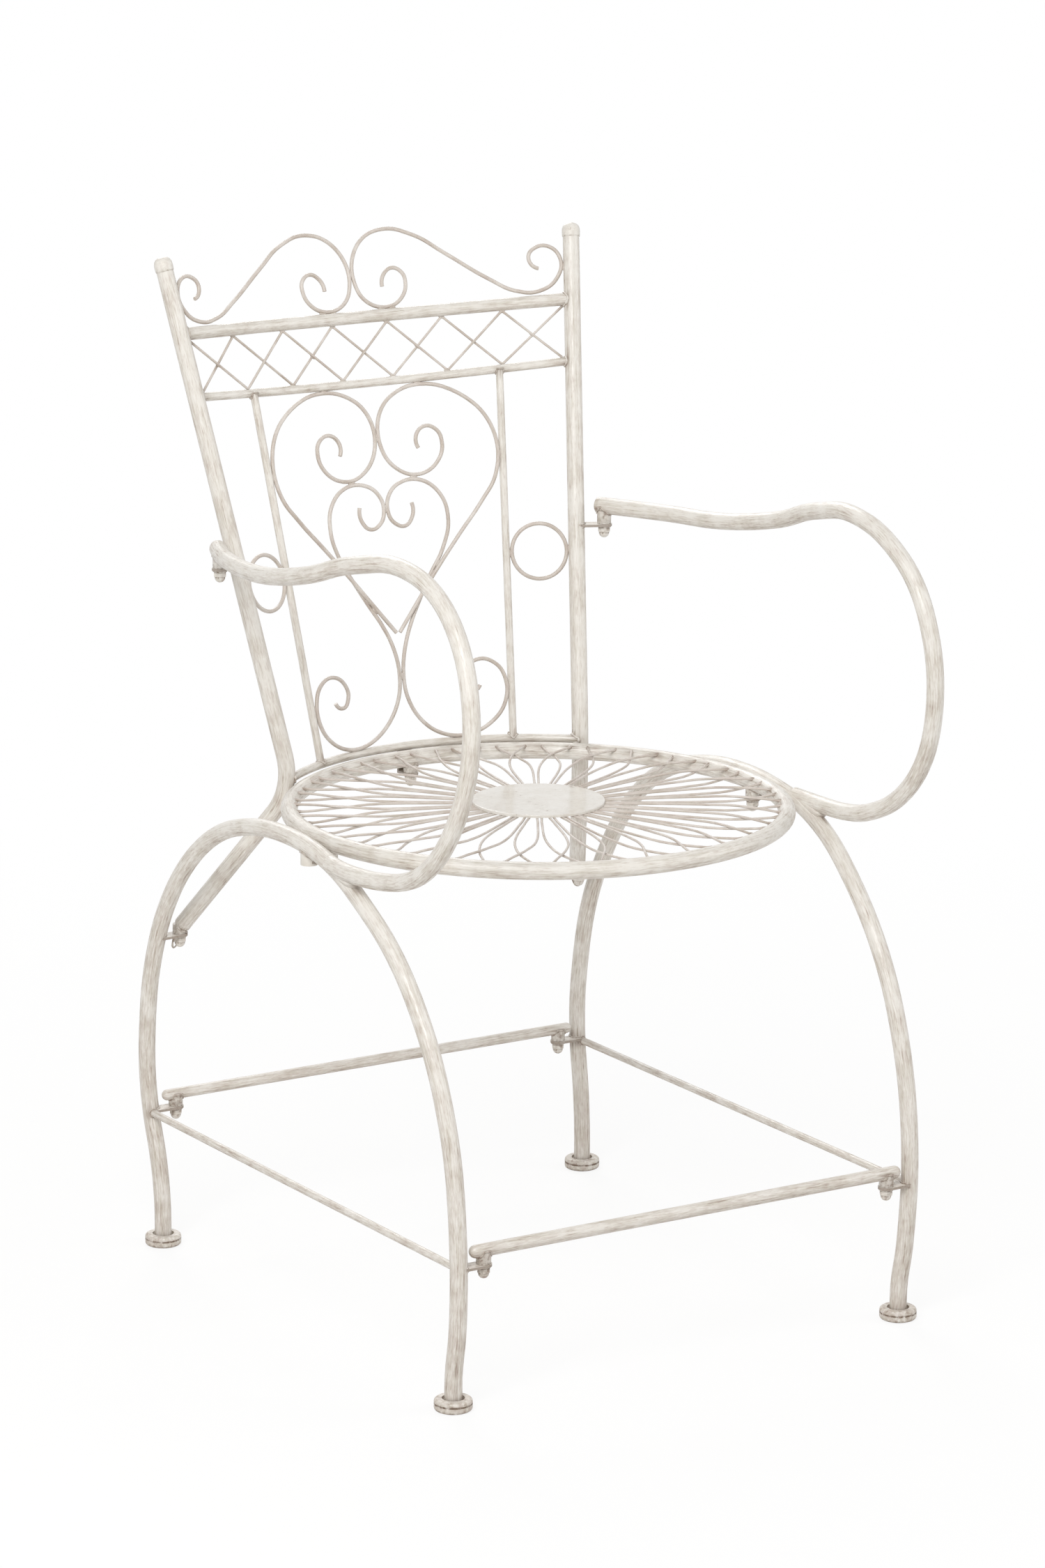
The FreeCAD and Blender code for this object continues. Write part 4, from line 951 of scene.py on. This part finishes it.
def tackSpots():
    # Where a wire touches a neighbour: place, way and radius of the wire
    samples = [(name, p, radius) for name, points, radius in centrelines for p in resampled(points, 2.0)]
    tree = KDTree(len(samples))
    for i, sample in enumerate(samples):
        tree.insert(sample[1], i)
    tree.balance()
    found = []
    for i, (name, point, radius) in enumerate(samples[:-1]):
        if radius > 3:
            continue
        for _, other, distance in tree.find_range(point, radius + 8.5):
            otherName, otherPoint, otherRadius = samples[other]
            gap = distance - radius - otherRadius
            if otherName != name and -0.7 < gap < weld["touch"] and samples[i + 1][0] == name:
                spot = point.lerp(otherPoint, radius / (radius + otherRadius))
                found.append((abs(gap), spot, (samples[i + 1][1] - point).normalized(), radius))
    found.sort(key=lambda tack: tack[0])
    kept = []
    for tack in found:
        if all((tack[1] - other[1]).length > weld["apart"] for other in kept):
            kept.append(tack)
    return kept


def tackBlob(spot, way, radius):
    shares = (-0.5, -0.42, -0.28, 0.0, 0.28, 0.42, 0.5)
    widths = (0.02, 0.5, 0.85, 1.0, 0.85, 0.5, 0.02)
    length = weld["tackLength"] * (0.6 + 0.4 * radius / 1.9)
    seams.append((spot, 0.7))
    return {"points": [spot + way * (length * s) for s in shares],
            "thickness": [w * (0.55 + 0.45 * radius / 1.9) for w in widths]}


def armWeb():
    # Runs up the outer side of the fork between the tubes, round its mouth and back inside
    sides = {1: [], -1: []}
    for start, end in zip(armDense, armDense[1:]):
        spot, way = nearestOn(sidePath, start)
        across = start - spot
        if start.y < -110 or not 4.0 < across.length < weld["webGap"]:
            continue
        outward = (end - start).cross(across).normalized()
        fill = 0.9 + 2.7 * min(1.0, (across.length - 4.0) / 12.0)
        height = 7.4 - 0.5 * max(0.0, across.length - 15.0) - fill
        for sign in sides:
            sides[sign].append(((start + spot) / 2 + outward * (sign * height), fill / tube["radius"]))
    mouth = (sides[1][-1][0] + sides[-1][-1][0]) / 2
    forward = (sides[1][-1][0] - sides[1][-3][0]).normalized()
    turn = [(mouth + forward * 1.2, sides[1][-1][1])]
    run = sides[1] + turn + sides[-1][::-1]
    seams.extend((mouth + forward * 3.2 + up * rise, 3.4) for rise in (-3.0, 0.0, 2.0))
    return {"points": [p for p, _ in run], "thickness": [w for _, w in run]}


for turned in (list, mirrored):
    top, below = turned(postPath[:2])
    rise = (top - below).normalized()
    seamRing(top + rise * (back["knobCap"][0][0] - 0.4), tube["radius"], 0.6, rise)
armDense = resampled(armPath[:40], 2.5)
beads, webs = [], []
web = armWeb()
for turned in (list, mirrored):
    webs.append({"points": turned(web["points"]), "thickness": web["thickness"]})
seams += [(Vector((-p.x, p.y, p.z)), spread) for p, spread in seams[-3:]]
for side, turned in (("Left", list), ("Right", mirrored)):
    bead = weld["bead"]
    post, arch = wholePath("backPost" + side), wholePath("sideTube" + side)
    for rail, radius in (("topRail", back["topRadius"]), ("secondRail", back["secondRadius"]),
                         ("bottomRail", back["bottomRadius"])):
        path = wholePath(rail) if side == "Left" else wholePath(rail)[::-1]
        beads.append(collar(path[0], (path[1] - path[0]).normalized(), radius, post, tube["radius"], bead))
    bar = wholePath("innerBar" + side)
    rise = (bar[-1] - bar[0]).normalized()
    beads.append(collar(bar[0], rise, back["barRadius"], wholePath("bottomRail"), back["bottomRadius"], 1.0))
    beads.append(collar(bar[-1], -rise, back["barRadius"], wholePath("secondRail"), back["secondRadius"],
                        1.0))
    rod = wholePath("sideRod" + side)
    run = (rod[-1] - rod[0]).normalized()
    for tip, way in ((rod[0], run), (rod[-1], -run)):
        beads.append(collar(tip, way, sideFrame["rodRadius"], arch, tube["radius"], 1.1, 1.8))
    x, y = sideFrame["blockPlace"]
    block = turned([besideSeat(x, y, sideFrame["blockTop"])])[0]
    beads.append(collar(block, -up, sideFrame["blockRadius"], arch, tube["radius"], 1.0))
    for name, host in (("rearStretcher", arch), ("frontStretcher", arch), ("armTube", post),
                       ("backPost", arch)):
        place = turned([Vector(bolts[name]["at"])])[0]
        beads += [tabBead(place, host, tube["radius"] + 0.2, drop)
                  for drop in (-0.4, turning["tabThickness"] + 0.4)]
for name, bolt in bolts.items():
    x, y, z = bolt["at"]
    for side, sign in (("Left", 1), ("Right", -1))[:1 if x == 0 else 2]:
        held = bolt.get("held", name) + (side if "paired" in bolt else "")
        radius = next(r for given, _, r in centrelines if given == held)
        start = Vector((sign * x, y, bolt["top"]))
        beads.append(collar(start, -up, turning["bossRadius"], wholePath(held), radius, 0.9))
tubePiece("weldBeads", beads, 1.0, 8, framePaint, "frame_paint", [])
tubePiece("forkWebs", webs, tube["radius"], 16, framePaint, "frame_paint", [])
tacks = tackSpots()
tubePiece("tackWelds", [tackBlob(*tack[1:]) for tack in tacks], weld["tackRadius"], 8, wirePaint,
          "scroll_paint", [])
print("stage 9: welds,", len(beads), "beads and", len(tacks), "tacks")


# Wear: how much brown glaze is left at each point, by its distance to seams and welds

# Heights in mm of the stains that run down the front of each leg
stainRuns = {"frontFoot": (19, 24, 38, 47, 52, 66), "rearFoot": (21, 27, 44, 49)}

for turn in range(petal["count"]):
    angle = math.radians(petal["turn"]) + 2 * math.pi * turn / petal["count"]
    for x, y in ((petal["end"][0], -petal["rimTouch"]), (-petal["end"][0], -petal["rimTouch"])):
        spot = Vector((x * math.cos(angle) - y * math.sin(angle), x * math.sin(angle) + y * math.cos(angle),
                       seat["height"] + petal["rise"]))
        seams.append((spot, 2.4))
for foot, heights in stainRuns.items():
    x, y = sideFrame[foot]
    for sign in (1, -1):
        for i, z in enumerate(heights):
            sway = math.radians(-70 + 9 * math.sin(2.3 * i + sign))
            spot = besideSeat(x, y, z) + Vector((math.cos(sway), math.sin(sway), 0)) * tube["radius"]
            seams.append((Vector((sign * spot.x, spot.y, z)), 0.9))
seamTree = KDTree(len(seams))
for i, (point, spread) in enumerate(seams):
    seamTree.insert(inFrame(point), i)
seamTree.balance()
for piece, _, _ in made:
    wear = []
    for vertex in piece.data.vertices:
        _, i, distance = seamTree.find(vertex.co)
        wear.append(math.exp(-max(0.0, distance * 1000 - 0.5) / seams[i][1]))
    layer = piece.data.attributes.new("weldWear", "FLOAT", "POINT")
    layer.data.foreach_set("value", wear)
print("stage 10: wear")


# Hand over to the frame

carriedPaints = {"foot_pad": padPaint, "seat_plate": platePaint, "blocks": framePaint, "tabs": lugPaint,
                 "bracket": lugPaint}

for piece, slotName, nodes in made:
    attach(piece, "root")
    if nodes:
        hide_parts(*nodes)
for name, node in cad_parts.items():
    if not node.hide_render:
        paint = next((p for word, p in carriedPaints.items() if word in name), hardwarePaint)
        node.data.materials.clear()
        node.data.materials.append(paint)
print("stage 11: pieces on the frame")
